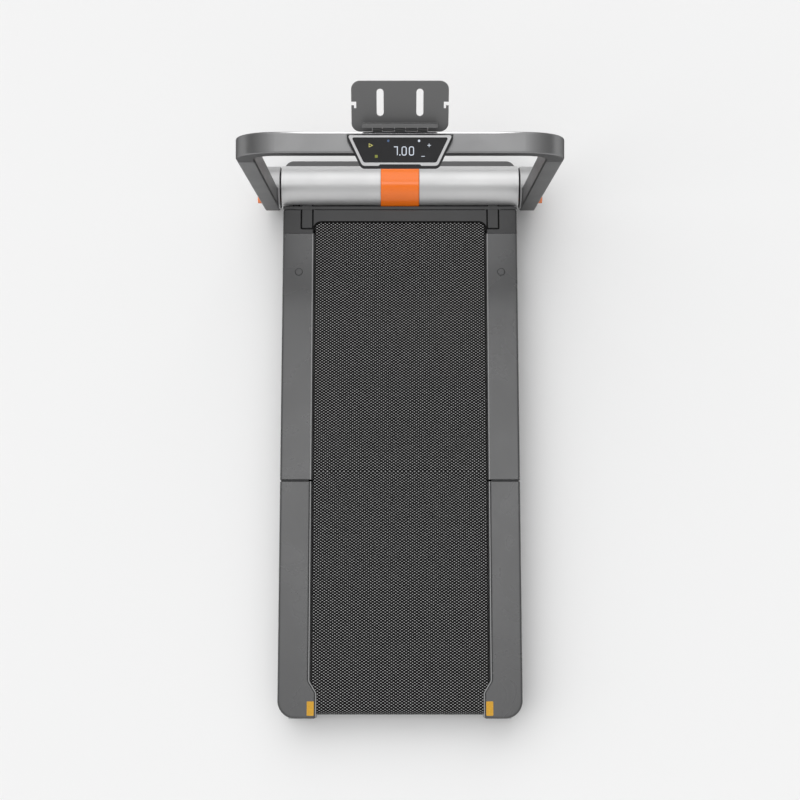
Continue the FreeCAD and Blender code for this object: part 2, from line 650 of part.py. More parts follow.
def roller_plate(rear, front, axis_y, axis_z):
    """Right roller carrier plate with its shaft hole."""
    plate = prism("x", PLATE_INNER, TUBE_OUTER, [
        (rear, TRAY_TOP, 0),
        (front, TRAY_TOP, 0),
        (front, axis_z + PLATE_OVER_AXIS, PLATE_OVER_AXIS / 2),
        (rear, axis_z + PLATE_OVER_AXIS, PLATE_OVER_AXIS / 2),
    ])
    hole = rod("x", PLATE_INNER - OVERRUN, TUBE_OUTER + OVERRUN, axis_y, axis_z,
               ROLLER_SHAFT_RADIUS + RUNNING_FIT)
    return plate.cut(hole)


def front_frame():
    """Welded front frame: side tubes, cross tubes, roller carriers, floor plate and motor cradle."""
    tube = square_tube(TUBE_INNER, TUBE_OUTER, FRAME_END, TUBE_FRONT, TRAY_TOP, TUBE_TOP, "y")
    plate = roller_plate(TUBE_FRONT - CROSS_WIDTH, BELT_REACH, FRONT_ROLLER_Y, FRONT_ROLLER_Z)
    floor_plate = prism("z", TRAY_TOP, FLOOR_TOP, [
        (-TUBE_OUTER, FLOOR_PLATE_REAR, 0),
        (TUBE_OUTER, FLOOR_PLATE_REAR, 0),
        (TUBE_OUTER, FAIRING_REAR, 0),
        (FLOOR_HALF, FAIRING_REAR, 0),
        (FLOOR_HALF, FLOOR_PLATE_FRONT, 0),
        (-FLOOR_HALF, FLOOR_PLATE_FRONT, 0),
        (-FLOOR_HALF, FAIRING_REAR, 0),
        (-TUBE_OUTER, FAIRING_REAR, 0),
    ])
    cradle_start = MOTOR_START + (MOTOR_LENGTH - CRADLE_LENGTH) / 2
    cradle_top = MOTOR_Z - MOTOR_RADIUS + CRADLE_RISE
    cradle = box(cradle_start, cradle_start + CRADLE_LENGTH, MOTOR_Y - CRADLE_WIDTH / 2,
                 FLOOR_PLATE_FRONT, FLOOR_TOP, cradle_top)
    cradle = cradle.cut(rod("x", cradle_start - OVERRUN, cradle_start + CRADLE_LENGTH + OVERRUN,
                            MOTOR_Y, MOTOR_Z, MOTOR_RADIUS + RUNNING_FIT))
    pieces = [tube, mirrored(tube), plate, mirrored(plate), floor_plate, cradle]
    pieces += cross_tubes(TUBE_FRONT, FRONT_CROSS_SHARES, 1)
    return fused(pieces).cut(idler_holes(1))


def rear_frame():
    """Welded rear frame with the carriers of the rear roller and its adjuster lugs."""
    tube = square_tube(TUBE_INNER, TUBE_OUTER, -TUBE_REAR, -FRAME_END, TRAY_TOP, TUBE_TOP, "y")
    lug_front = REAR_ROLLER_Y - ROLLER_SHAFT_RADIUS - LUG_FROM_SHAFT + LUG_THICKNESS
    lug_rear = lug_front - LUG_THICKNESS
    plate = roller_plate(lug_rear, -TUBE_REAR + CROSS_WIDTH, REAR_ROLLER_Y, REAR_ROLLER_Z)
    lug = box(PLATE_INNER - BOLT_FROM_PLATE - LUG_THICKNESS, PLATE_INNER, lug_rear, lug_front,
              REAR_ROLLER_Z - LUG_HEIGHT / 2, REAR_ROLLER_Z + LUG_HEIGHT / 2)
    hole = rod("y", lug_rear - OVERRUN, lug_front + OVERRUN, PLATE_INNER - BOLT_FROM_PLATE,
               REAR_ROLLER_Z, BOLT_RADIUS + RUNNING_FIT)
    lug = lug.cut(hole)
    pieces = [tube, mirrored(tube), plate, mirrored(plate), lug, mirrored(lug)]
    pieces += cross_tubes(TUBE_REAR, REAR_CROSS_SHARES, -1)
    return fused(pieces).cut(idler_holes(-1))


def deck_board(y0, y1):
    """Deck board that the belt slides on."""
    return prism("z", TUBE_TOP, BOARD_TOP,
                 rectangle(-BOARD_HALF, BOARD_HALF, y0, y1, BOARD_EDGE_RADIUS))


def tray(y0, y1, vent_y):
    """Underside tray with rows of vent slots."""
    plate = prism("z", FOOT_HEIGHT, TRAY_TOP, rectangle(-TUBE_OUTER, TUBE_OUTER, y0, y1, BOARD_EDGE_RADIUS))
    slots = []
    for index in range(VENTS):
        y = vent_y + (index - (VENTS - 1) / 2) * VENT_PITCH
        for x in (-VENT_LENGTH, VENT_LENGTH):
            slots.append(prism("z", FOOT_HEIGHT - OVERRUN, TRAY_TOP + OVERRUN,
                               rectangle(x - VENT_LENGTH / 2, x + VENT_LENGTH / 2, y - VENT_WIDTH / 2,
                                         y + VENT_WIDTH / 2, VENT_WIDTH / 3)))
    return plate.cut(Part.makeCompound(slots))


# Running belt
def belt_run(inset, roller, idler, fold_end, direction):
    """Corner points of one face of the belt loop: inset 0 is the inner face."""
    roller_y, roller_z, roller_radius = roller
    idler_y, idler_z, idler_radius = idler
    wrap = roller_radius + inset
    ride = idler_radius + BELT_THICKNESS - inset
    run = direction * (roller_y - idler_y)
    rise = roller_z - idler_z
    slope = math.asin((wrap + ride) / math.hypot(run, rise)) - math.atan2(rise, run)
    across = direction * math.sin(slope)
    up = math.cos(slope)
    half = slope / 2
    return {
        "top_end": V(0, fold_end, roller_z + wrap),
        "top": V(0, roller_y, roller_z + wrap),
        "nose": V(0, roller_y + direction * wrap, roller_z),
        "leave": V(0, roller_y - across * wrap, roller_z - up * wrap),
        "meet": V(0, idler_y + across * ride, idler_z + up * ride),
        "ride": V(0, idler_y + direction * math.sin(half) * ride, idler_z + math.cos(half) * ride),
        "low": V(0, idler_y, idler_z + ride),
        "low_end": V(0, fold_end, idler_z + ride),
    }


def run_edges(points):
    """Edges of one face of the belt loop."""
    return [
        Part.makeLine(points["top_end"], points["top"]),
        Part.Arc(points["top"], points["nose"], points["leave"]).toShape(),
        Part.makeLine(points["leave"], points["meet"]),
        Part.Arc(points["meet"], points["ride"], points["low"]).toShape(),
        Part.makeLine(points["low"], points["low_end"]),
    ]


def running_belt(roller, idler, direction):
    """Half of the running belt: over its roller and back over the fold idler."""
    fold_end = direction * BELT_FOLD_GAP
    inner = belt_run(0, roller, idler, fold_end, direction)
    outer = belt_run(BELT_THICKNESS, roller, idler, fold_end, direction)
    edges = run_edges(inner) + run_edges(outer)
    edges.append(Part.makeLine(inner["top_end"], outer["top_end"]))
    edges.append(Part.makeLine(inner["low_end"], outer["low_end"]))
    face = Part.Face(Part.Wire(Part.__sortEdges__(edges)))
    face.translate(V(-BELT_WIDTH / 2, 0, 0))
    return face.extrude(V(BELT_WIDTH, 0, 0))


# Rollers and shafts
def roller(y, z, radius):
    """Roller tube with end walls and bearing pockets."""
    half = ROLLER_LENGTH / 2
    body = rod("x", -half, half, y, z, radius)
    cavity = rod("x", -half + BEARING_WIDTH + ROLLER_WALL, half - BEARING_WIDTH - ROLLER_WALL, y, z,
                 radius - ROLLER_WALL)
    bore = rod("x", -half - OVERRUN, half + OVERRUN, y, z, ROLLER_SHAFT_RADIUS + ROLLER_WALL / 2)
    pocket = rod("x", half - BEARING_WIDTH, half + OVERRUN, y, z, BEARING_RADIUS + RUNNING_FIT)
    for cutter in (cavity, bore, pocket, mirrored(pocket)):
        body = body.cut(cutter)
    return body


def roller_bearings(y, z):
    """Bearing ring in each end of a roller."""
    half = ROLLER_LENGTH / 2
    ring = rod("x", half - BEARING_WIDTH, half, y, z, BEARING_RADIUS)
    bore = rod("x", half - BEARING_WIDTH - OVERRUN, half + OVERRUN, y, z, ROLLER_SHAFT_RADIUS + RUNNING_FIT)
    return pair(ring.cut(bore))


def roller_shaft(y, z):
    """Fixed shaft through a roller, held in both carriers."""
    return rod("x", -TUBE_OUTER, TUBE_OUTER, y, z, ROLLER_SHAFT_RADIUS)


def idler(direction):
    """Fold idler with stub ends in the side tubes."""
    y = direction * IDLER_FROM_FOLD
    stub = TUBE_INNER + IDLER_STUB_REACH
    return fused([rod("x", -IDLER_LENGTH / 2, IDLER_LENGTH / 2, y, IDLER_Z, IDLER_RADIUS),
                  rod("x", -stub, stub, y, IDLER_Z, IDLER_STUB_RADIUS)])


def tension_bolts():
    """Belt adjuster bolts that bear on the rear roller's shaft."""
    x = PLATE_INNER - BOLT_FROM_PLATE
    tip = REAR_ROLLER_Y - ROLLER_SHAFT_RADIUS - RUNNING_FIT
    head = -REAR_REACH + MOULDED_WALL
    stem = rod("y", head, tip, x, REAR_ROLLER_Z, BOLT_RADIUS)
    cap = rod("y", head - MOULDED_WALL, head - MOULDED_WALL + BOLT_HEAD_LENGTH, x, REAR_ROLLER_Z,
              BOLT_HEAD_RADIUS)
    corners = []
    for index in range(BOLT_SOCKET_SIDES):
        angle = 2 * math.pi * index / BOLT_SOCKET_SIDES
        corners.append((x + BOLT_RADIUS * math.cos(angle), REAR_ROLLER_Z + BOLT_RADIUS * math.sin(angle), 0))
    socket = prism("y", head - MOULDED_WALL - OVERRUN, head, corners)
    return pair(fused([stem, cap]).cut(socket))


# Fold hinges
def knuckle_spans():
    """Spans of the hinge knuckles across the right rail."""
    start = RAIL_INNER + LEAF_SIDE_GAP + RAIL_LIP_WIDTH
    end = HALF_DECK - MOULDED_WALL - LEAF_SIDE_GAP
    marks = [start + share * (end - start) for share in KNUCKLE_SHARES]
    return list(zip(marks, marks[1:]))


def hinge_leaf(direction):
    """Right hinge leaf on the end of a frame tube: direction 1 is the front half."""
    spans = knuckle_spans()
    own = spans[::2] if direction > 0 else spans[1::2]
    other = spans[1::2] if direction > 0 else spans[::2]
    near = LEAF_FROM_FOLD
    far = FRAME_END
    y0, y1 = sorted((direction * near, direction * far))
    leaf = box(spans[0][0], spans[-1][1], y0, y1, TRAY_TOP, FOLD_AXIS_Z)
    barrels = [rod("x", x0, x1, 0, FOLD_AXIS_Z, KNUCKLE_RADIUS) for x0, x1 in own]
    gaps = []
    for x0, x1 in other:
        gaps.append(rod("x", x0 - SEAT_GAP, x1 + SEAT_GAP, 0, FOLD_AXIS_Z, KNUCKLE_RADIUS + SEAT_GAP))
        gaps.append(box(x0 - SEAT_GAP, x1 + SEAT_GAP, y0 - OVERRUN, y1 + OVERRUN,
                        FOLD_AXIS_Z - KNUCKLE_RADIUS, FOLD_AXIS_Z + OVERRUN))
    bore = rod("x", spans[0][0] - OVERRUN, spans[-1][1] + OVERRUN, 0, FOLD_AXIS_Z,
               HINGE_PIN_RADIUS + RUNNING_FIT)
    return fused([leaf] + barrels).cut(Part.makeCompound(gaps)).cut(bore)


def hinge_pin():
    """Right hinge pin."""
    spans = knuckle_spans()
    return rod("x", spans[0][0], spans[-1][1], 0, FOLD_AXIS_Z, HINGE_PIN_RADIUS)


# Motor housing
def support_arm():
    """Right arm from the deck to the motor housing, with its leg on the floor plate."""
    top = RAIL_TOP - ARM_BELOW_RAIL
    return prism("x", ARM_INNER, ARM_INNER + ARM_WIDTH, [
        (ARM_REAR, top - ARM_THICKNESS, ARM_CORNER_RADIUS / 2),
        (ARM_LEG_REAR, top - ARM_THICKNESS, ARM_CORNER_RADIUS),
        (ARM_LEG_REAR, FLOOR_TOP, 0),
        (ARM_LEG_REAR + ARM_LEG, FLOOR_TOP, 0),
        (ARM_LEG_REAR + ARM_LEG, top, ARM_CORNER_RADIUS),
        (ARM_REAR, top, ARM_CORNER_RADIUS / 2),
    ])


def housing_shell(x0, x1, radius, wall, edge):
    """Part of a tube round the housing axis, open towards the deck and the floor."""
    section = outline([
        (x0, radius - wall, 0),
        (x1, radius - wall, 0),
        (x1, radius, edge),
        (x0, radius, edge),
    ], lambda a, b: V(a, b, 0))
    low_edge = FAIRING_TOP - COVER_UNDER_FAIRING
    start_deg = math.degrees(math.asin((low_edge - HOUSING_Z) / HOUSING_RADIUS))
    face = Part.Face(section)
    face.rotate(V(0, 0, 0), V(1, 0, 0), start_deg)
    shell = face.revolve(V(0, 0, 0), V(1, 0, 0), HOUSING_END_DEG - start_deg)
    shell.translate(V(0, HOUSING_Y, HOUSING_Z))
    return shell


def motor_cover(side):
    """Brushed cover over one half of the housing, slotted for the arm and the drive belt."""
    gap = SLIP_FIT
    shell = housing_shell(BAND_WIDTH / 2 + gap, HALF_HOUSING, HOUSING_RADIUS, HOUSING_WALL, HOUSING_EDGE)
    slot_top = RAIL_TOP - ARM_BELOW_RAIL + ARM_GAP / 2
    slot = box(ARM_INNER - ARM_GAP / 2, ARM_INNER + ARM_WIDTH + ARM_GAP / 2,
               DECK_FRONT, HOUSING_Y - HOUSING_RADIUS / 2, 0, slot_top)
    shell = shell.cut(slot)
    if side > 0:
        return shell
    drive_slot = box(PULLEY_OUTER - ARM_GAP / 2, PULLEY_INNER + ARM_GAP / 2,
                     DECK_FRONT, HOUSING_Y - HOUSING_RADIUS / 2, 0, slot_top)
    return mirrored(shell).cut(drive_slot)


def centre_band():
    """Coloured band round the middle of the housing."""
    return housing_shell(-BAND_WIDTH / 2, BAND_WIDTH / 2, HOUSING_RADIUS + BAND_PROUD, HOUSING_WALL,
                         HOUSING_EDGE)


def housing_disc(x0, x1, radius):
    """Disc on the housing axis with a pedestal on the floor plate."""
    disc = rod("x", x0, x1, HOUSING_Y, HOUSING_Z, radius)
    half = PEDESTAL_WIDTH / 2
    pedestal = box(x0, x1, HOUSING_Y - half, HOUSING_Y + half, FLOOR_TOP, HOUSING_Z)
    below = box(x0 - OVERRUN, x1 + OVERRUN, HOUSING_Y - HOUSING_RADIUS, HOUSING_Y + HOUSING_RADIUS,
                0, FLOOR_TOP)
    return fused([disc.cut(below), pedestal])


def cover_supports():
    """Rings under the joints between the covers and the centre band."""
    middle = BAND_WIDTH / 2
    radius = HOUSING_RADIUS - HOUSING_WALL - SLIP_FIT
    ring = housing_disc(middle - SUPPORT_THICKNESS / 2, middle + SUPPORT_THICKNESS / 2, radius)
    hole = rod("x", middle - SUPPORT_THICKNESS, middle + SUPPORT_THICKNESS, HOUSING_Y, HOUSING_Z,
               radius - SUPPORT_RIM)
    return pair(ring.cut(hole))


def plunger_groove():
    """Cutter for the arc that the lock plunger's tip runs in."""
    radius = abs(UPRIGHT_V)
    half = PLUNGER_RADIUS + PLUNGER_GROOVE_GAP
    depth = PLUNGER_GROOVE_DEPTH
    x0 = END_PLATE_OUTER - depth
    section = Part.Face(outline(rectangle(x0, END_PLATE_OUTER + OVERRUN, radius - half, radius + half, 0),
                                lambda a, b: V(a, b, 0)))
    section.rotate(V(0, 0, 0), V(1, 0, 0), 180 + LEAN_DEG)
    pieces = [section.revolve(V(0, 0, 0), V(1, 0, 0), HANDRAIL_FOLD_DEG)]
    for angle in (LEAN_DEG, LEAN_DEG + HANDRAIL_FOLD_DEG):
        end = rod("x", x0, END_PLATE_OUTER + OVERRUN, -radius, 0, half)
        end.rotate(V(0, 0, 0), V(1, 0, 0), angle)
        pieces.append(end)
    groove = fused(pieces)
    groove.translate(V(0, HOUSING_Y, HOUSING_Z))
    return groove


def end_plate():
    """Right end plate of the housing: carries the pivot axle and the plunger's groove."""
    plate = housing_disc(END_PLATE_INNER, END_PLATE_OUTER, HOUSING_RADIUS - HOUSING_WALL - SLIP_FIT)
    bore = rod("x", END_PLATE_INNER - OVERRUN, END_PLATE_OUTER + OVERRUN, HOUSING_Y, HOUSING_Z,
               AXLE_RADIUS + RUNNING_FIT)
    return plate.cut(bore).cut(plunger_groove())


def handrail_axle():
    """Right pivot axle of the handrail, flanged inside the end plate."""
    flange = rod("x", END_PLATE_INNER - AXLE_FLANGE, END_PLATE_INNER, HOUSING_Y, HOUSING_Z,
                 AXLE_FLANGE_RADIUS)
    shoulder = UPRIGHT_INNER - SEAT_GAP
    pin = rod("x", END_PLATE_INNER - AXLE_FLANGE, shoulder, HOUSING_Y, HOUSING_Z, AXLE_RADIUS)
    nose = rod("x", shoulder, HUB_OUTER - HUB_WEB - SEAT_GAP, HOUSING_Y, HOUSING_Z, AXLE_NOSE_RADIUS)
    return fused([flange, pin, nose])


# Motor and drive
def motor_body():
    """Motor can with bands pressed into it and a bore for the rotor's shaft."""
    end = MOTOR_START + MOTOR_LENGTH
    body = rod("x", MOTOR_START, end, MOTOR_Y, MOTOR_Z, MOTOR_RADIUS)
    body = round_edges(body, MOTOR_EDGE, lambda edge: edge.Closed)
    grooves = []
    for index in range(MOTOR_RIBS):
        x = MOTOR_START + MOTOR_LENGTH * (index + 1) / (MOTOR_RIBS + 1)
        outer = rod("x", x, x + MOTOR_RIB_WIDTH, MOTOR_Y, MOTOR_Z, MOTOR_RADIUS + OVERRUN)
        grooves.append(outer.cut(rod("x", x, x + MOTOR_RIB_WIDTH, MOTOR_Y, MOTOR_Z,
                                     MOTOR_RADIUS - MOTOR_RIB_DEPTH)))
    bore = rod("x", MOTOR_START - OVERRUN, end + OVERRUN, MOTOR_Y, MOTOR_Z, MOTOR_SHAFT_RADIUS + RUNNING_FIT)
    return body.cut(Part.makeCompound(grooves)).cut(bore)


def flanged_pulley(y, z, radius, bore):
    """Flat belt pulley with a low flange on each side."""
    face = rod("x", PULLEY_OUTER, PULLEY_INNER, y, z, radius)
    flange = rod("x", PULLEY_INNER - PULLEY_FLANGE, PULLEY_INNER, y, z, radius + DRIVE_BELT_THICKNESS)
    other = rod("x", PULLEY_OUTER, PULLEY_OUTER + PULLEY_FLANGE, y, z, radius + DRIVE_BELT_THICKNESS)
    hole = rod("x", PULLEY_OUTER - OVERRUN, PULLEY_INNER + OVERRUN, y, z, bore + RUNNING_FIT)
    return fused([face, flange, other]).cut(hole)


def roller_pulley():
    """Pulley with its boss fixed to the end of the front roller."""
    pulley = flanged_pulley(FRONT_ROLLER_Y, FRONT_ROLLER_Z, ROLLER_PULLEY_RADIUS, ROLLER_SHAFT_RADIUS)
    boss = rod("x", PULLEY_INNER, -ROLLER_LENGTH / 2, FRONT_ROLLER_Y, FRONT_ROLLER_Z, PULLEY_BOSS_RADIUS)
    bore = rod("x", PULLEY_OUTER, 0, FRONT_ROLLER_Y, FRONT_ROLLER_Z, ROLLER_SHAFT_RADIUS + RUNNING_FIT)
    return fused([pulley, boss.cut(bore)])


def loop_wire(radius_one, radius_two):
    """Wire of a belt loop round the roller pulley and the motor pulley."""
    one = V(PULLEY_X, FRONT_ROLLER_Y, FRONT_ROLLER_Z)
    two = V(PULLEY_X, MOTOR_Y, MOTOR_Z)
    span = two - one
    heading = math.atan2(span.z, span.y)
    lift = math.acos((radius_one - radius_two) / span.Length)

    def rim(centre, radius, angle):
        return centre + V(0, radius * math.cos(angle), radius * math.sin(angle))

    upper = heading + lift
    lower = heading - lift
    return Part.Wire([
        Part.makeLine(rim(one, radius_one, upper), rim(two, radius_two, upper)),
        Part.Arc(rim(two, radius_two, upper), rim(two, radius_two, heading),
                 rim(two, radius_two, lower)).toShape(),
        Part.makeLine(rim(two, radius_two, lower), rim(one, radius_one, lower)),
        Part.Arc(rim(one, radius_one, lower), rim(one, radius_one, heading + math.pi),
                 rim(one, radius_one, upper)).toShape(),
    ])


def drive_belt():
    """Belt from the motor to the front roller."""
    gap = SEAT_GAP
    inner = loop_wire(ROLLER_PULLEY_RADIUS + gap, MOTOR_PULLEY_RADIUS + gap)
    thick = gap + DRIVE_BELT_THICKNESS
    outer = loop_wire(ROLLER_PULLEY_RADIUS + thick, MOTOR_PULLEY_RADIUS + thick)
    across = V(DRIVE_BELT_WIDTH, 0, 0)
    loop = Part.Face(outer).extrude(across).cut(Part.Face(inner).extrude(across))
    loop.translate(V(-DRIVE_BELT_WIDTH / 2, 0, 0))
    return loop


def motor_shaft():
    """Rotor shaft through the motor, out to the pulley."""
    return rod("x", PULLEY_OUTER, MOTOR_START + MOTOR_LENGTH, MOTOR_Y, MOTOR_Z, MOTOR_SHAFT_RADIUS)


def control_board():
    """Controller board with heat sink and capacitors, and its four standoffs."""
    bottom = FLOOR_TOP + PCB_RISE
    top = bottom + PCB_THICKNESS
    board = box(PCB_START, PCB_END, PCB_REAR, FLOOR_PLATE_FRONT, bottom, top)
    sink = box(PCB_START + STANDOFF_INSET, PCB_START + STANDOFF_INSET + HEAT_SINK_LENGTH,
               FLOOR_PLATE_FRONT - STANDOFF_INSET - HEAT_SINK_WIDTH, FLOOR_PLATE_FRONT - STANDOFF_INSET,
               top, top + HEAT_SINK_HEIGHT)
    room = (HEAT_SINK_WIDTH - HEAT_SINK_FIN) / (HEAT_SINK_FINS - 1)
    for index in range(HEAT_SINK_FINS - 1):
        y = FLOOR_PLATE_FRONT - STANDOFF_INSET - HEAT_SINK_WIDTH + HEAT_SINK_FIN + index * room
        sink = sink.cut(box(PCB_START, PCB_END, y, y + room - HEAT_SINK_FIN, top + HEAT_SINK_BASE,
                            top + HEAT_SINK_HEIGHT + OVERRUN))
    pieces = [board, sink]
    for index in range(CAPACITORS):
        x = PCB_START + HEAT_SINK_LENGTH + (index + 1) * CAPACITOR_PITCH
        pieces.append(rod("z", top, top + CAPACITOR_HEIGHT, x, (PCB_REAR + FLOOR_PLATE_FRONT) / 2,
                          CAPACITOR_RADIUS))
    solids = [fused(pieces)]
    for x in (PCB_START + STANDOFF_INSET, PCB_END - STANDOFF_INSET):
        for y in (PCB_REAR + STANDOFF_INSET, FLOOR_PLATE_FRONT - STANDOFF_INSET):
            solids.append(rod("z", FLOOR_TOP, bottom, x, y, STANDOFF_RADIUS))
    return Part.makeCompound(solids)


# Fairing, inlet, switch and wheels
def fairing_solid(inset):
    """Outer form of the fairing drawn in by inset."""
    half = FAIRING_HALF - inset
    front = FRONT_REACH - inset
    edge = FAIRING_EDGE_RADIUS - inset
    rear = FAIRING_REAR - (OVERRUN if inset else 0)
    side = prism("x", -half, half, [
        (rear, FOOT_HEIGHT + inset, 0),
        (front, FOOT_HEIGHT + inset, edge),
        (front, FAIRING_TOP - inset, edge),
        (rear, FAIRING_TOP - inset, 0),
    ])
    corner = FAIRING_CORNER_RADIUS - inset
    plan = prism("z", 0, RAIL_TOP, [
        (-half, rear, 0), (half, rear, 0), (half, front, corner), (-half, front, corner),
    ])
    return side.common(plan)


def wheel_well():
    """Cutter for the right wheel and its cheeks in the fairing's floor."""
    half = CHEEK_OUTER + WELL_GAP
    return box(WHEEL_X - half, WHEEL_X + half, FLOOR_PLATE_FRONT, WHEEL_Y + WHEEL_RADIUS + WELL_GAP,
               0, TRAY_TOP + OVERRUN)


def inlet_window(gap):
    """Outline prism of the inlet and switch module, grown by gap."""
    y0 = FRONT_REACH - INLET_DEPTH
    left = INLET_X - INLET_WIDTH / 2 - gap
    right = SWITCH_X + SWITCH_WIDTH / 2 + gap
    half = INLET_HEIGHT / 2 + gap
    end = FRONT_REACH + (OVERRUN if gap else 0)
    return box(left, right, y0, end, FAIRING_MIDDLE - half, FAIRING_MIDDLE + half)


def front_fairing():
    """Dark fairing round the lower front of the housing."""
    shell = fairing_solid(0).cut(fairing_solid(MOULDED_WALL))
    reach = HOUSING_RADIUS + BAND_PROUD + FAIRING_TO_HOUSING
    housing = rod("x", -HALF_HOUSING, HALF_HOUSING, HOUSING_Y, HOUSING_Z, reach)
    above = box(-HALF_HOUSING, HALF_HOUSING, FAIRING_REAR - OVERRUN, FRONT_REACH,
                FLOOR_TOP, FAIRING_TOP + OVERRUN)
    well = wheel_well()
    for cutter in (housing.common(above), well, mirrored(well), inlet_window(SLIP_FIT)):
        shell = shell.cut(cutter)
    return shell


def power_inlet():
    """Inlet and switch module: socket with three blades, and the rocker's bay."""
    block = inlet_window(0)
    socket = prism("y", FRONT_REACH - INLET_SOCKET_DEPTH, FRONT_REACH + OVERRUN,
                   rectangle(INLET_X - INLET_WIDTH / 2 + INLET_WALL, INLET_X + INLET_WIDTH / 2 - INLET_WALL,
                             FAIRING_MIDDLE - INLET_HEIGHT / 2 + INLET_WALL,
                             FAIRING_MIDDLE + INLET_HEIGHT / 2 - INLET_WALL, INLET_WALL))
    bay = box(SWITCH_X - ROCKER_WIDTH / 2 - ROCKER_GAP, SWITCH_X + ROCKER_WIDTH / 2 + ROCKER_GAP,
              ROCKER_Y - ROCKER_BACK - ROCKER_SWING, FRONT_REACH + OVERRUN,
              FAIRING_MIDDLE - ROCKER_HEIGHT / 2 - ROCKER_SWING,
              FAIRING_MIDDLE + ROCKER_HEIGHT / 2 + ROCKER_SWING)
    pin_reach = ROCKER_WIDTH / 2 + ROCKER_GAP + ROCKER_PIN_REACH
    pin_hole = rod("x", SWITCH_X - pin_reach, SWITCH_X + pin_reach, ROCKER_Y, FAIRING_MIDDLE,
                   ROCKER_PIN_RADIUS + RUNNING_FIT)
    block = block.cut(socket).cut(bay).cut(pin_hole)
    back = FRONT_REACH - INLET_SOCKET_DEPTH
    blades = []
    for step in (-1, 0, 1):
        x = INLET_X + step * INLET_PIN_PITCH
        z = FAIRING_MIDDLE + (INLET_PIN_PITCH / 4 if step == 0 else -INLET_PIN_PITCH / 4)
        blades.append(box(x - INLET_PIN_WIDTH / 2, x + INLET_PIN_WIDTH / 2, back - INLET_WALL,
                          back + INLET_PIN_LENGTH, z - INLET_PIN_HEIGHT / 2, z + INLET_PIN_HEIGHT / 2))
    return fused([block] + blades)


def power_switch():
    """Rocker with a dished face, resting with its upper half pressed in."""
    half = ROCKER_HEIGHT / 2
    rocker = prism("x", SWITCH_X - ROCKER_WIDTH / 2, SWITCH_X + ROCKER_WIDTH / 2, [
        (-ROCKER_BACK, -half + ROCKER_DISH, 0),
        (ROCKER_FRONT, -half, ROCKER_DISH),
        (ROCKER_FRONT - ROCKER_DISH, 0, half),
        (ROCKER_FRONT, half, ROCKER_DISH),
        (-ROCKER_BACK, half - ROCKER_DISH, 0),
    ])
    reach = ROCKER_WIDTH / 2 + ROCKER_GAP + ROCKER_PIN_REACH - SLIP_FIT
    rocker = fused([rocker, rod("x", SWITCH_X - reach, SWITCH_X + reach, 0, 0, ROCKER_PIN_RADIUS)])
    rocker.rotate(V(0, 0, 0), V(1, 0, 0), ROCKER_THROW_DEG)
    rocker.translate(V(0, ROCKER_Y, FAIRING_MIDDLE))
    return rocker


def wheel_bracket():
    """Right wheel bracket: two cheeks on a foot bolted to the floor plate, and the axle."""
    top = FLOOR_TOP + CHEEK_HEIGHT
    profile = [
        (CHEEK_REAR, FLOOR_TOP, 0),
        (FLOOR_PLATE_FRONT + SLIP_FIT, FLOOR_TOP, 0),
        (WHEEL_Y - CHEEK_RADIUS, WHEEL_Z - CHEEK_RADIUS, CHEEK_RADIUS / 2),
        (WHEEL_Y + CHEEK_RADIUS, WHEEL_Z - CHEEK_RADIUS, CHEEK_RADIUS / 2),
        (WHEEL_Y + CHEEK_RADIUS, top, CHEEK_RADIUS / 2),
        (CHEEK_REAR, top, 0),
    ]
    cheeks = [prism("x", WHEEL_X + CHEEK_INNER, WHEEL_X + CHEEK_OUTER, profile),
              prism("x", WHEEL_X - CHEEK_OUTER, WHEEL_X - CHEEK_INNER, profile)]
    foot = box(WHEEL_X - CHEEK_OUTER, WHEEL_X + CHEEK_OUTER, CHEEK_REAR, FLOOR_PLATE_FRONT, FLOOR_TOP, top)
    hole = rod("x", WHEEL_X - CHEEK_OUTER - OVERRUN, WHEEL_X + CHEEK_OUTER + OVERRUN, WHEEL_Y, WHEEL_Z,
               WHEEL_AXLE_RADIUS + RUNNING_FIT)
    axle = rod("x", WHEEL_X - CHEEK_OUTER, WHEEL_X + CHEEK_OUTER, WHEEL_Y, WHEEL_Z, WHEEL_AXLE_RADIUS)
    wheel_room = rod("x", WHEEL_X - CHEEK_INNER, WHEEL_X + CHEEK_INNER, WHEEL_Y, WHEEL_Z,
                     WHEEL_RADIUS + WELL_GAP)
    return Part.makeCompound([fused(cheeks + [foot]).cut(hole).cut(wheel_room), axle])


def wheel():
    """Right transport wheel with rounded tread."""
    half = WHEEL_WIDTH / 2
    tyre = rod("x", WHEEL_X - half, WHEEL_X + half, WHEEL_Y, WHEEL_Z, WHEEL_RADIUS)
    tyre = round_edges(tyre, WHEEL_EDGE, lambda edge: edge.Closed)
    bore = rod("x", WHEEL_X - half - OVERRUN, WHEEL_X + half + OVERRUN, WHEEL_Y, WHEEL_Z,
               WHEEL_AXLE_RADIUS + RUNNING_FIT)
    return tyre.cut(bore)


def foot(x, y):
    """Tapered rubber foot under a tray."""
    cone = Part.makeCone(FOOT_RADIUS - FOOT_TAPER, FOOT_RADIUS, FOOT_HEIGHT, V(x, y, 0))
    return round_edges(cone, FOOT_EDGE, lambda edge: edge.Closed and edge.BoundBox.ZMax < FOOT_EDGE)


def feet(length, shares, direction):
    """Feet of one half of the deck."""
    return Part.makeCompound([foot(side * FOOT_X, direction * length * share)
                              for side in (-1, 1) for share in shares])


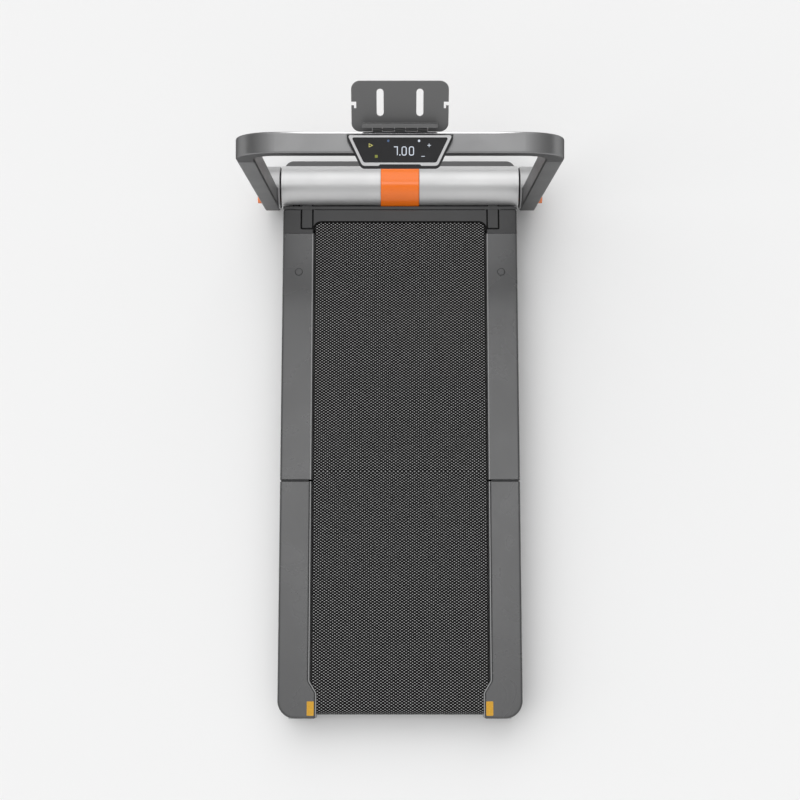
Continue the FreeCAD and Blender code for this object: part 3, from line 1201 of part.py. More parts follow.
def bumper():
    """Right rubber bumper that the folded half rests on."""
    head = rod("z", RAIL_TOP, RAIL_TOP + BUMPER_HEIGHT, BUMPER_X, BUMPER_Y, BUMPER_RADIUS)
    head = round_edges(head, BUMPER_EDGE, lambda edge: edge.Closed and edge.BoundBox.ZMin > RAIL_TOP)
    stem = rod("z", RAIL_TOP - MOULDED_WALL, RAIL_TOP, BUMPER_X, BUMPER_Y, BUMPER_STEM_RADIUS - RUNNING_FIT)
    return fused([head, stem])


# Handrail
def section(inset):
    """Corners of the rail section across x and v, drawn in by inset."""
    return rectangle(UPRIGHT_INNER + inset, HUB_OUTER - inset, -UPRIGHT_BEHIND + inset, UPRIGHT_FRONT - inset,
                     RAIL_SECTION_RADIUS - inset)


def hub():
    """Right hub: turns on the axle and holds the foot of the upright."""
    disc = rod("x", HUB_INNER, HUB_OUTER, 0, 0, HUB_RADIUS)
    disc = round_edges(disc, HUB_EDGE, lambda edge: edge.Closed)
    bore = rod("x", HUB_INNER - OVERRUN, UPRIGHT_INNER, 0, 0, AXLE_RADIUS + RUNNING_FIT)
    nose = rod("x", UPRIGHT_INNER, HUB_OUTER - HUB_WEB, 0, 0, AXLE_NOSE_RADIUS + RUNNING_FIT)
    seat = box(UPRIGHT_INNER, HUB_OUTER + OVERRUN, -HUB_RADIUS - OVERRUN, UPRIGHT_FRONT,
               -HUB_RADIUS - OVERRUN, HUB_RADIUS + OVERRUN)
    plunger = rod("x", HUB_INNER - OVERRUN, HUB_OUTER, UPRIGHT_V, 0, PLUNGER_RADIUS + RUNNING_FIT)
    for cutter in (seat, bore, nose, plunger):
        disc = disc.cut(cutter)
    return disc


def upright():
    """Right upright: a rectangular tube with rounded corners."""
    tube = prism("z", -UPRIGHT_FOOT, LEG_U, section(0))
    tube = tube.cut(prism("z", -UPRIGHT_FOOT - OVERRUN, LEG_U + OVERRUN, section(RAIL_SECTION_WALL)))
    plunger = rod("x", UPRIGHT_INNER - OVERRUN, HUB_OUTER + OVERRUN, UPRIGHT_V, 0,
                  PLUNGER_RADIUS + RUNNING_FIT)
    return tube.cut(plunger)


def end_cap():
    """Plug in the lower end of the right upright."""
    cap = prism("z", -UPRIGHT_FOOT - CAP_THICKNESS, -UPRIGHT_FOOT, section(0))
    plug = prism("z", -UPRIGHT_FOOT, -UPRIGHT_FOOT + CAP_PLUG, section(RAIL_SECTION_WALL + SLIP_FIT))
    return fused([cap, plug])


def arch(inset):
    """Solid form of the inverted U of the top rail, drawn in by inset."""
    end = OVERRUN if inset else 0
    leg = prism("z", LEG_U - end, BEND_U, section(inset))
    face = Part.Face(outline(section(inset), lambda a, b: V(a, b, BEND_U)))
    bend = face.revolve(V(BEND_X, 0, BEND_U), V(0, 1, 0), -90)
    bar = prism("x", -BEND_X, BEND_X, rectangle(-UPRIGHT_BEHIND + inset, UPRIGHT_FRONT - inset,
                                                BAR_TOP - RAIL_SECTION_X + inset, BAR_TOP - inset,
                                                RAIL_SECTION_RADIUS - inset))
    return fused([leg, bend, mirrored(leg), mirrored(bend), bar])


def top_rail():
    """Crossbar with its two bends, hollow."""
    return arch(0).cut(arch(RAIL_SECTION_WALL))


def spigot():
    """Right connector inside the joint between upright and top rail."""
    return prism("z", LEG_U - SPIGOT_LENGTH, BEND_U - RAIL_SECTION_WALL,
                 section(RAIL_SECTION_WALL + SLIP_FIT))


def lock_knob():
    """Right pull knob with its plunger."""
    neck_start = HUB_OUTER + SEAT_GAP
    head_start = neck_start + KNOB_NECK
    neck = rod("x", neck_start, head_start, UPRIGHT_V, 0, KNOB_NECK_RADIUS)
    head = rod("x", head_start, head_start + KNOB_LENGTH, UPRIGHT_V, 0, KNOB_RADIUS)
    head = round_edges(head, KNOB_EDGE, lambda edge: edge.Closed)
    plunger = rod("x", END_PLATE_OUTER - PLUNGER_INTO_PLATE, head_start, UPRIGHT_V, 0, PLUNGER_RADIUS)
    return fused([neck, head, plunger])


# Console
def console_plan(inset_side, inset_bottom, inset_top):
    """Trapezoid of the console's face, drawn in from its edges."""
    top = CONSOLE_TOP_WIDTH / 2
    bottom = CONSOLE_BOTTOM_WIDTH / 2
    taper = (top - bottom) / CONSOLE_HEIGHT
    low = inset_bottom
    high = CONSOLE_HEIGHT - inset_top
    at_low = bottom + taper * low - inset_side
    at_high = bottom + taper * high - inset_side
    low_radius = CONSOLE_BOTTOM_RADIUS - inset_side / 2
    return [(-at_low, low, low_radius), (at_low, low, low_radius),
            (at_high, high, CONSOLE_TOP_RADIUS), (-at_high, high, CONSOLE_TOP_RADIUS)]


def console_on_bar(shape):
    """Place a console piece on the crossbar."""
    return on_handrail(on_face(shape, CONSOLE_V, CONSOLE_U, CONSOLE_TILT_DEG))


def console_notch(rim):
    """Cutter for the shallow notch in the middle of a lower edge that stands out by rim."""
    half = CONSOLE_NOTCH_WIDTH / 2
    depth = CONSOLE_NOTCH_DEPTH
    return prism("z", -CONSOLE_HEIGHT, OVERRUN, [
        (-half - depth, -rim - OVERRUN, 0), (half + depth, -rim - OVERRUN, 0), (half + depth, -rim, 0),
        (half, depth - rim, depth), (-half, depth - rim, depth), (-half - depth, -rim, 0),
    ])


def console_housing():
    """Wedge under the console's face, seated on the crossbar's top and rear."""
    tilt = math.radians(CONSOLE_TILT_DEG)
    top_v = CONSOLE_V + CONSOLE_HEIGHT * math.cos(tilt)
    top_u = CONSOLE_U + CONSOLE_HEIGHT * math.sin(tilt)
    drop = BAR_TOP - CONSOLE_DROP
    reach = CONSOLE_TOP_WIDTH
    wedge = prism("x", -reach, reach, [
        (CONSOLE_V - CONSOLE_RIM * math.cos(tilt), CONSOLE_U - CONSOLE_RIM * math.sin(tilt), 0),
        (top_v, top_u, 0),
        (top_v + CONSOLE_FRONT_FOOT, BAR_TOP, 0),
        (-UPRIGHT_BEHIND, BAR_TOP, 0),
        (-UPRIGHT_BEHIND, drop, 0),
        (-UPRIGHT_BEHIND - CONSOLE_BACK_SLOPE, drop, 0),
    ])
    bar_corner = arch(0)
    trapezoid = prism("z", -CONSOLE_HEIGHT, -CONSOLE_FRAME_HEIGHT,
                      console_plan(-CONSOLE_RIM, -CONSOLE_RIM, -CONSOLE_FRONT_FOOT))
    trapezoid = on_face(trapezoid, CONSOLE_V, CONSOLE_U, CONSOLE_TILT_DEG)
    pocket = prism("z", -CONSOLE_FRAME_HEIGHT - CONSOLE_POCKET, OVERRUN,
                   console_plan(CONSOLE_POCKET_RIM, CONSOLE_POCKET_RIM, CONSOLE_POCKET_RIM))
    pocket = on_face(pocket, CONSOLE_V, CONSOLE_U, CONSOLE_TILT_DEG)
    notch = on_face(console_notch(CONSOLE_RIM), CONSOLE_V, CONSOLE_U, CONSOLE_TILT_DEG)
    return on_handrail(wedge.common(trapezoid).cut(bar_corner).cut(pocket).cut(notch))


def console_frame():
    """Bright frame round the console's glass."""
    ring = prism("z", -CONSOLE_FRAME_HEIGHT, 0, console_plan(0, 0, 0))
    window = prism("z", -CONSOLE_FRAME_HEIGHT - OVERRUN, OVERRUN,
                   console_plan(CONSOLE_FRAME_SIDE, CONSOLE_FRAME_BOTTOM, CONSOLE_FRAME_TOP))
    return console_on_bar(ring.cut(window).cut(console_notch(0)))


def console_glass():
    """Dark glass with the touch keys and the speed display behind it."""
    gap = SLIP_FIT
    pane = prism("z", -CONSOLE_FRAME_HEIGHT, -CONSOLE_FRAME_HEIGHT + CONSOLE_GLASS,
                 console_plan(CONSOLE_FRAME_SIDE + gap, CONSOLE_FRAME_BOTTOM + gap, CONSOLE_FRAME_TOP + gap))
    return console_on_bar(pane)


def console_board():
    """Display board in the housing's pocket."""
    rim = CONSOLE_POCKET_RIM + SLIP_FIT
    floor = -CONSOLE_FRAME_HEIGHT - CONSOLE_POCKET
    return console_on_bar(prism("z", floor, floor + CONSOLE_BOARD, console_plan(rim, rim, rim)))


# Tablet holder
def tablet_spans():
    """Spans of the tablet hinge's knuckles across x."""
    start = -TABLET_HINGE_WIDTH / 2
    marks = [start + share * TABLET_HINGE_WIDTH for share in TABLET_KNUCKLE_SHARES]
    return list(zip(marks, marks[1:]))


def tablet_bracket():
    """Hinge bracket on the crossbar's front face."""
    spans = tablet_spans()
    half = TABLET_HINGE_WIDTH / 2
    low = TABLET_U - TABLET_BRACKET_HEIGHT + TABLET_HINGE_RADIUS
    plate = box(-half, half, UPRIGHT_FRONT, UPRIGHT_FRONT + TABLET_BRACKET, low, TABLET_U)
    pieces = [plate]
    for x0, x1 in spans[::2]:
        pieces.append(rod("x", x0, x1, TABLET_V, TABLET_U, TABLET_HINGE_RADIUS))
        pieces.append(box(x0, x1, UPRIGHT_FRONT, TABLET_V, TABLET_U - TABLET_HINGE_RADIUS, TABLET_U))
    bore = rod("x", -half - OVERRUN, half + OVERRUN, TABLET_V, TABLET_U, TABLET_PIN_RADIUS + RUNNING_FIT)
    bracket = fused(pieces).cut(bore)
    for x0, x1 in spans[1::2]:
        gap = TABLET_KNUCKLE_GAP
        bracket = bracket.cut(rod("x", x0 - gap, x1 + gap, TABLET_V, TABLET_U, TABLET_HINGE_RADIUS + gap / 2))
    return on_handrail(bracket)


def tablet_pin():
    """Pin of the tablet hinge."""
    half = TABLET_HINGE_WIDTH / 2
    return on_handrail(rod("x", -half, half, TABLET_V, TABLET_U, TABLET_PIN_RADIUS))


def side_notch():
    """Cutter for the hooked notch in the right edge of the tablet plate."""
    edge = TABLET_WIDTH / 2
    inner = edge - NOTCH_DEPTH
    return prism("z", -TABLET_THICKNESS - OVERRUN, OVERRUN, [
        (inner, NOTCH_HOOK_START, 0),
        (inner + NOTCH_HOOK, NOTCH_HOOK_START, 0),
        (inner + NOTCH_HOOK, NOTCH_START, 0),
        (edge + OVERRUN, NOTCH_START, 0),
        (edge + OVERRUN, NOTCH_END, 0),
        (inner, NOTCH_END, 0),
    ])


def tablet_plate():
    """Sheet plate with two slots, hooked side notches, a ledge and its hinge knuckles."""
    half = TABLET_WIDTH / 2
    start = TABLET_HINGE_RADIUS
    plate = prism("z", -TABLET_THICKNESS / 2, TABLET_THICKNESS / 2,
                  rectangle(-half, half, -TABLET_BELOW_HINGE, TABLET_HEIGHT, TABLET_RADIUS))
    gap = TABLET_KNUCKLE_GAP
    hinge_half = TABLET_HINGE_WIDTH / 2 + gap
    hinge_room = box(-hinge_half, hinge_half, -TABLET_BELOW_HINGE - OVERRUN, start,
                     -TABLET_THICKNESS, TABLET_THICKNESS)
    slot = prism("z", -TABLET_THICKNESS, TABLET_THICKNESS,
                 rectangle(SLOT_X - SLOT_WIDTH / 2, SLOT_X + SLOT_WIDTH / 2, SLOT_START, SLOT_END,
                           SLOT_WIDTH / 2 - RUNNING_FIT))
    notch = side_notch()
    plate = plate.cut(Part.makeCompound([hinge_room, slot, mirrored(slot), notch, mirrored(notch)]))
    ledge_half = LEDGE_WIDTH / 2
    ledge = box(-ledge_half, ledge_half, LEDGE_START - LEDGE_THICKNESS, LEDGE_START, 0, LEDGE_DEPTH)
    lip = box(-ledge_half, ledge_half, LEDGE_START - LEDGE_THICKNESS, LEDGE_START + LEDGE_LIP,
              LEDGE_DEPTH - LEDGE_THICKNESS, LEDGE_DEPTH)
    pieces = [plate, ledge, lip]
    cuts = []
    for x0, x1 in tablet_spans()[1::2]:
        pieces.append(rod("x", x0, x1, 0, 0, TABLET_HINGE_RADIUS))
        pieces.append(box(x0, x1, 0, start + TABLET_THICKNESS, -TABLET_THICKNESS / 2, TABLET_THICKNESS / 2))
    for x0, x1 in tablet_spans()[::2]:
        cuts.append(rod("x", x0 - gap, x1 + gap, 0, 0, TABLET_HINGE_RADIUS + gap))
    cuts.append(rod("x", -hinge_half, hinge_half, 0, 0, TABLET_PIN_RADIUS + RUNNING_FIT))
    return on_handrail(on_face(fused(pieces).cut(Part.makeCompound(cuts[:-1])).cut(cuts[-1]),
                               TABLET_V, TABLET_U, TABLET_TILT_DEG))


def build():
    """All pieces by node name."""
    front_loop = (FRONT_ROLLER_Y, FRONT_ROLLER_Z, FRONT_ROLLER_RADIUS + SEAT_GAP)
    rear_loop = (REAR_ROLLER_Y, REAR_ROLLER_Z, REAR_ROLLER_RADIUS + SEAT_GAP)
    front_ride = (IDLER_FROM_FOLD, IDLER_Z, IDLER_RADIUS + SEAT_GAP)
    rear_ride = (-IDLER_FROM_FOLD, IDLER_Z, IDLER_RADIUS + SEAT_GAP)
    right_rail = front_rail()
    right_tail = rear_rail()
    front_leaf = hinge_leaf(1)
    rear_leaf = hinge_leaf(-1)
    right_hub = on_handrail(hub())
    right_upright = on_handrail(upright())
    right_knob = on_handrail(lock_knob())
    right_wheel = wheel()
    return {
        "front_frame": front_frame(),
        "front_deck_board": deck_board(RAIL_END_GAP, TUBE_FRONT),
        "front_belt": running_belt(front_loop, front_ride, 1),
        "front_right_rail": right_rail,
        "front_left_rail": mirrored(right_rail),
        "front_cover": front_cover(),
        "front_tray": tray(RAIL_END_GAP, FAIRING_REAR - SLIP_FIT, TUBE_FRONT * VENT_SHARE),
        "front_feet": feet(TUBE_FRONT, FRONT_FOOT_SHARES, 1),
        "rail_bumpers": pair(bumper()),
        "front_hinges": Part.makeCompound([pair(front_leaf), pair(hinge_pin())]),
        "support_arms": pair(support_arm()),
        "right_motor_cover": motor_cover(1),
        "left_motor_cover": motor_cover(-1),
        "centre_band": centre_band(),
        "cover_supports": cover_supports(),
        "end_plates": pair(end_plate()),
        "handrail_axles": pair(handrail_axle()),
        "motor_body": motor_body(),
        "drive_belt": drive_belt(),
        "control_board": control_board(),
        "front_fairing": front_fairing(),
        "power_inlet": power_inlet(),
        "front_roller_shaft": roller_shaft(FRONT_ROLLER_Y, FRONT_ROLLER_Z),
        "wheel_brackets": pair(wheel_bracket()),
        "front_roller": roller(FRONT_ROLLER_Y, FRONT_ROLLER_Z, FRONT_ROLLER_RADIUS),
        "front_roller_bearings": roller_bearings(FRONT_ROLLER_Y, FRONT_ROLLER_Z),
        "roller_pulley": roller_pulley(),
        "motor_shaft": motor_shaft(),
        "motor_pulley": flanged_pulley(MOTOR_Y, MOTOR_Z, MOTOR_PULLEY_RADIUS, MOTOR_SHAFT_RADIUS),
        "front_idler": idler(1),
        "right_wheel": right_wheel,
        "left_wheel": mirrored(right_wheel),
        "power_switch": power_switch(),
        "rear_frame": rear_frame(),
        "rear_deck_board": deck_board(-TUBE_REAR, -RAIL_END_GAP),
        "rear_belt": running_belt(rear_loop, rear_ride, -1),
        "rear_right_rail": right_tail,
        "rear_left_rail": mirrored(right_tail),
        "rear_tray": tray(-TUBE_REAR - CROSS_WIDTH, -RAIL_END_GAP, -TUBE_REAR * VENT_SHARE),
        "rear_feet": feet(TUBE_REAR, REAR_FOOT_SHARES, -1),
        "rear_roller_shaft": roller_shaft(REAR_ROLLER_Y, REAR_ROLLER_Z),
        "tension_bolts": tension_bolts(),
        "rear_hinges": pair(rear_leaf),
        "rear_roller": roller(REAR_ROLLER_Y, REAR_ROLLER_Z, REAR_ROLLER_RADIUS),
        "rear_roller_bearings": roller_bearings(REAR_ROLLER_Y, REAR_ROLLER_Z),
        "rear_idler": idler(-1),
        "handrail_hubs": pair(right_hub),
        "right_upright": right_upright,
        "left_upright": mirrored(right_upright),
        "upright_end_caps": pair(on_handrail(end_cap())),
        "top_rail": on_handrail(top_rail()),
        "rail_spigots": pair(on_handrail(spigot())),
        "console_housing": console_housing(),
        "console_frame": console_frame(),
        "console_glass": console_glass(),
        "console_board": console_board(),
        "tablet_bracket": Part.makeCompound([tablet_bracket(), tablet_pin()]),
        "tablet_plate": tablet_plate(),
        "right_lock_knob": right_knob,
        "left_lock_knob": mirrored(right_knob),
    }


os.makedirs("parts", exist_ok=True)
for node, shape in build().items():
    save(node, shape)
    solids = len(shape.Solids)
    print(node, solids, "solid" if solids == 1 else "solids", "valid" if shape.isValid() else "INVALID",
          round(shape.Volume))
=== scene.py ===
"""Walking pad with a folding handrail: finishes, fine pieces, floor, light and camera.

Lengths are in metres in the shared frame: X to the right, Y towards the motor end, Z up.
Angles are in degrees.
"""

import logging
import math
from dataclasses import dataclass, field
from enum import Enum
from typing import Optional, Sequence, Union

import bmesh
import bpy
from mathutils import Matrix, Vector
from mathutils.geometry import convex_hull_2d


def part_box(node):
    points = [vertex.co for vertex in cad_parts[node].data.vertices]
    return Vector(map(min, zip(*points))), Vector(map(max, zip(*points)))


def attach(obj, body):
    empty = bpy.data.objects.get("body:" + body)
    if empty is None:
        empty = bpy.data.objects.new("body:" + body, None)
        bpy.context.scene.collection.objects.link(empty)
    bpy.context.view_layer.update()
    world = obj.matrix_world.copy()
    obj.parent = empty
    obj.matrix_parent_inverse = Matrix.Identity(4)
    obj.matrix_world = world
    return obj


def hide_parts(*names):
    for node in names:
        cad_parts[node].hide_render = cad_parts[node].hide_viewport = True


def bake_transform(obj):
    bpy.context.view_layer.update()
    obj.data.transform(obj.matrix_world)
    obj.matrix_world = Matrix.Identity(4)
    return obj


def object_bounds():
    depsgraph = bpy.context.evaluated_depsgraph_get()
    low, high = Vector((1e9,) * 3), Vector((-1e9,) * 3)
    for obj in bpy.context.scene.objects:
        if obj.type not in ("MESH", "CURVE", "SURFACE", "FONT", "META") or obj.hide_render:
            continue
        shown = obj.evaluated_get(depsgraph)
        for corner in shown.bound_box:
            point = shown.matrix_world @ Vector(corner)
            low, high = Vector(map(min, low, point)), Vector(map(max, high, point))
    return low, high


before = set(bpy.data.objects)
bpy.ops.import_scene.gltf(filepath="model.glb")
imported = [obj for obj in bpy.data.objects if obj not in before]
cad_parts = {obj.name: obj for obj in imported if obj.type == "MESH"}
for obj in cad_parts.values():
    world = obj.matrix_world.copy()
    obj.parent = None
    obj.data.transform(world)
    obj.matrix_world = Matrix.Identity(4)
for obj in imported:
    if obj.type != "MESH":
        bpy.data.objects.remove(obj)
CAD_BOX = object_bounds()

MM = 0.001
X_AXIS = Vector((1.0, 0.0, 0.0))
Y_AXIS = Vector((0.0, 1.0, 0.0))
Z_AXIS = Vector((0.0, 0.0, 1.0))
QUARTER_TURN = 90.0
FULL_TURN = 360.0
UPWARDS = 90.0
DOWNWARDS = 270.0
SIDES = (("left", -1.0), ("right", 1.0))
WHITE = (1.0, 1.0, 1.0)
BLACK = (0.0, 0.0, 0.0)

Triple = tuple[float, float, float]
Colour = Triple
Point = tuple[float, float]
Socket = bpy.types.NodeSocket
Value = Union[float, Triple, Vector, Socket]
Inputs = dict[Union[str, int], Value]

log = logging.getLogger("walking_pad")


def screen_colour(red: int, green: int, blue: int) -> Colour:
    """Turns a colour as a screen shows it into the linear one that shaders use.

    Args:
        red: red, 0 to 255.
        green: green, 0 to 255.
        blue: blue, 0 to 255.

    Returns:
        The three linear values, 0 to 1.
    """
    full, knee, slope, offset, power = 255.0, 0.04045, 12.92, 0.055, 2.4
    shares = [level / full for level in (red, green, blue)]
    linear_red, linear_green, linear_blue = (
        share / slope if share <= knee else ((share + offset) / (1.0 + offset)) ** power
        for share in shares
    )
    return linear_red, linear_green, linear_blue


class ShaderTree:
    """Short calls that add and link the nodes of one node tree."""

    MIX_SHARE, MIX_DARK, MIX_LIGHT, MIX_COLOUR = 0, 6, 7, 2

    def __init__(self, tree: bpy.types.NodeTree) -> None:
        """Keeps the tree that nodes are added to."""
        self.tree = tree

    def add(self, kind: str, inputs: Inputs, **settings: object) -> bpy.types.Node:
        """Adds a node, sets its options and fills its inputs.

        Args:
            kind: the node's type name.
            inputs: socket name or number, with a plain value or the socket that feeds it.
            settings: options of the node, such as operation.

        Returns:
            The new node.
        """
        node = self.tree.nodes.new(kind)
        for option, choice in settings.items():
            setattr(node, option, choice)
        self.fill(node, inputs)
        return node

    def fill(self, node: bpy.types.Node, inputs: Inputs) -> None:
        """Links a node's sockets to their sources, or sets their plain values.

        Args:
            node: the node.
            inputs: socket name or number, with a plain value or the socket that feeds it.
        """
        for name, value in inputs.items():
            socket = node.inputs[name]
            if isinstance(value, Socket):
                self.tree.links.new(value, socket)
            elif socket.type == "RGBA":
                socket.default_value = (*value, 1.0)
            else:
                socket.default_value = value

    def place(self) -> Socket:
        """Returns the place on the piece, in metres."""
        return self.add("ShaderNodeTexCoord", {}).outputs["Object"]

    def math(self, operation: str, first: Value, second: Value = 0.0) -> Socket:
        """Returns the result of one Math node."""
        return self.add("ShaderNodeMath", {0: first, 1: second}, operation=operation).outputs[0]

    def span(self, value: Value, lowest: float, highest: float) -> Socket:
        """Returns a 0 to 1 value spread over a new span."""
        inputs = {"Value": value, "To Min": lowest, "To Max": highest}
        return self.add("ShaderNodeMapRange", inputs).outputs["Result"]

    def smooth_step(self, value: Value, start: float, end: float) -> Socket:
        """Returns a value that goes softly from 0 at the start to 1 at the end."""
        inputs = {"Value": value, "From Min": start, "From Max": end}
        return self.add(
            "ShaderNodeMapRange", inputs, interpolation_type="SMOOTHSTEP"
        ).outputs["Result"]

    def shade(self, share: Value, dark: Value, light: Value) -> Socket:
        """Returns a colour between two shades, by a share that changes over the surface."""
        inputs = {self.MIX_SHARE: share, self.MIX_DARK: dark, self.MIX_LIGHT: light}
        return self.add("ShaderNodeMix", inputs, data_type="RGBA").outputs[self.MIX_COLOUR]


class Effect(Enum):
    """The surface effects that materials share, each one node group."""

    MOULDED_GRAIN = "moulded_grain"
    BRUSHED_LINES = "brushed_lines"
    HANDLING = "handling"
    SOFT_EDGE = "soft_edge"


class EffectLibrary:
    """Builds each shared effect once and places it in materials."""

    FLOAT = "NodeSocketFloat"
    VECTOR = "NodeSocketVector"

    def __init__(self) -> None:
        """Starts with no group built."""
        self.makers = {
            Effect.MOULDED_GRAIN: self.moulded_grain,
            Effect.BRUSHED_LINES: self.brushed_lines,
            Effect.HANDLING: self.handling,
            Effect.SOFT_EDGE: self.soft_edge,
        }
        self.groups: dict[Effect, bpy.types.NodeTree] = {}

    def place(self, tree: ShaderTree, effect: Effect, inputs: Inputs) -> bpy.types.Node:
        """Adds one effect to a material.

        Args:
            tree: the material's tree.
            effect: the effect to place.
            inputs: the effect's own values in this material.

        Returns:
            The group node, whose outputs carry the effect.
        """
        if effect not in self.groups:
            self.groups[effect] = self.makers[effect]()
        return tree.add("ShaderNodeGroup", inputs, node_tree=self.groups[effect])

    def open_group(
        self, effect: Effect, inputs: dict[str, str], outputs: dict[str, str]
    ) -> tuple[ShaderTree, bpy.types.Node, bpy.types.Node]:
        """Makes an empty group with its named sockets.

        Args:
            effect: the effect that the group is for.
            inputs: input names with their socket types.
            outputs: output names with their socket types.

        Returns:
            The group's tree, its input node and its output node.
        """
        group = bpy.data.node_groups.new(effect.value, "ShaderNodeTree")
        for way, sockets in (("INPUT", inputs), ("OUTPUT", outputs)):
            for name, kind in sockets.items():
                group.interface.new_socket(name, in_out=way, socket_type=kind)
        tree = ShaderTree(group)
        return tree, tree.add("NodeGroupInput", {}), tree.add("NodeGroupOutput", {})

    def moulded_grain(self) -> bpy.types.NodeTree:
        """Fine leather-like grain of a spark-eroded mould.

        Returns:
            A group from Cells per Metre to Height and Fleck, both about 0 to 1.
        """
        cloudiness, fleck_detail = 0.35, 3.0
        tree, given, result = self.open_group(
            Effect.MOULDED_GRAIN,
            {"Cells per Metre": self.FLOAT},
            {"Height": self.FLOAT, "Fleck": self.FLOAT},
        )
        spot = {"Vector": tree.place(), "Scale": given.outputs["Cells per Metre"]}
        cells = tree.add("ShaderNodeTexVoronoi", spot)
        flecks = tree.add("ShaderNodeTexNoise", {**spot, "Detail": fleck_detail})
        fleck = flecks.outputs["Fac"]
        rounded = tree.math("SUBTRACT", 1.0, cells.outputs["Distance"])
        clouded = tree.math("MULTIPLY", fleck, cloudiness)
        tree.fill(result, {"Height": tree.math("ADD", rounded, clouded), "Fleck": fleck})
        return tree.tree

    def brushed_lines(self) -> bpy.types.NodeTree:
        """Fine lines left by a brushing belt, drawn out along one axis.

        Returns:
            A group from Lines per Metre, a vector by axis, to Streak, 0 to 1.
        """
        scale, detail = 1.0, 6.0
        tree, given, result = self.open_group(
            Effect.BRUSHED_LINES, {"Lines per Metre": self.VECTOR}, {"Streak": self.FLOAT}
        )
        stretch = {0: tree.place(), 1: given.outputs["Lines per Metre"]}
        drawn = tree.add("ShaderNodeVectorMath", stretch, operation="MULTIPLY").outputs[0]
        lines = tree.add("ShaderNodeTexNoise", {"Vector": drawn, "Scale": scale, "Detail": detail})
        tree.fill(result, {"Streak": lines.outputs["Fac"]})
        return tree.tree

    def handling(self) -> bpy.types.NodeTree:
        """Faint uneven patches, as hands and cloths leave on a surface.

        Returns:
            A group from Patches per Metre to Smudge, 0 to 1.
        """
        detail, warp, low, high = 4.0, 0.6, 0.35, 0.7
        tree, given, result = self.open_group(
            Effect.HANDLING, {"Patches per Metre": self.FLOAT}, {"Smudge": self.FLOAT}
        )
        spot = {"Vector": tree.place(), "Scale": given.outputs["Patches per Metre"]}
        patches = tree.add("ShaderNodeTexNoise", {**spot, "Detail": detail, "Distortion": warp})
        tree.fill(result, {"Smudge": tree.smooth_step(patches.outputs["Fac"], low, high)})
        return tree.tree

    def soft_edge(self) -> bpy.types.NodeTree:
        """Rounds a sharp edge for the light, and marks where it runs for the painted edge
        highlight.

        Returns:
            A group from Radius to Normal and Edge, 0 on flats and 1 on edges.
        """
        samples, low, high = 6, 0.005, 0.12
        tree, given, result = self.open_group(
            Effect.SOFT_EDGE, {"Radius": self.FLOAT}, {"Normal": self.VECTOR, "Edge": self.FLOAT}
        )
        bevel = tree.add("ShaderNodeBevel", {"Radius": given.outputs["Radius"]}, samples=samples)
        rounded = bevel.outputs["Normal"]
        flat = tree.add("ShaderNodeNewGeometry", {}).outputs["True Normal"]
        match = tree.add("ShaderNodeVectorMath", {0: rounded, 1: flat}, operation="DOT_PRODUCT")
        turn = tree.math("SUBTRACT", 1.0, match.outputs["Value"])
        tree.fill(result, {"Normal": rounded, "Edge": tree.smooth_step(turn, low, high)})
        return tree.tree


EFFECTS = EffectLibrary()


@dataclass(frozen=True)
class Finish:
    """A surface finish: its name, its main colour and how it takes the light."""

    name: str
    colour: Colour
    roughness: float = 0.5

    def material(self) -> bpy.types.Material:
        """Gives the finish's material, built on first use.

        Returns:
            The material.
        """
        known = bpy.data.materials.get(self.name)
        if known is not None:
            return known
        made = bpy.data.materials.new(self.name)
        made.use_nodes = True
        made.node_tree.nodes.clear()
        tree = ShaderTree(made.node_tree)
        shader = tree.add("ShaderNodeBsdfPrincipled", self.surface(tree))
        tree.add("ShaderNodeOutputMaterial", {"Surface": shader.outputs["BSDF"]})
        return made

    def surface(self, tree: ShaderTree) -> Inputs:
        """Lays out what feeds the shader; each kind of finish has its own way.

        Args:
            tree: the material's tree.

        Returns:
            The shader's sockets with their values or sources.
        """
        raise NotImplementedError(self.name)

    def tone(self, factor: float) -> Colour:
        """Returns the main colour made lighter or darker."""
        red, green, blue = (min(1.0, part * factor) for part in self.colour)
        return red, green, blue

    def toned(self, tree: ShaderTree, share: Socket, dark: float, light: float) -> Socket:
        """Returns the main colour between a dark and a light tone, by a share."""
        return tree.shade(share, self.tone(dark), self.tone(light))

    def flecked(
        self, tree: ShaderTree, cells_per_metre: float, dark: float, light: float
    ) -> tuple[Socket, Socket]:
        """Returns the main colour with flecks, and the grain's height."""
        grain = EFFECTS.place(tree, Effect.MOULDED_GRAIN, {"Cells per Metre": cells_per_metre})
        return self.toned(tree, grain.outputs["Fleck"], dark, light), grain.outputs["Height"]

    @staticmethod
    def smudge(tree: ShaderTree, patches_per_metre: float) -> Socket:
        """Returns the share of handling marks, 0 to 1."""
        inputs = {"Patches per Metre": patches_per_metre}
        return EFFECTS.place(tree, Effect.HANDLING, inputs).outputs["Smudge"]

    @staticmethod
    def relief(
        tree: ShaderTree, height: Socket, depth: float, normal: Optional[Socket] = None
    ) -> Socket:
        """Adds fine relief.

        Args:
            tree: the material's tree.
            height: the relief's height, 0 to 1.
            depth: the real depth in metres that 1 stands for.
            normal: the normal that the relief lies on, if not the surface's own.

        Returns:
            The normal with the relief on it.
        """
        inputs = {"Height": height, "Distance": depth, "Strength": 1.0}
        if normal is not None:
            inputs["Normal"] = normal
        return tree.add("ShaderNodeBump", inputs).outputs["Normal"]


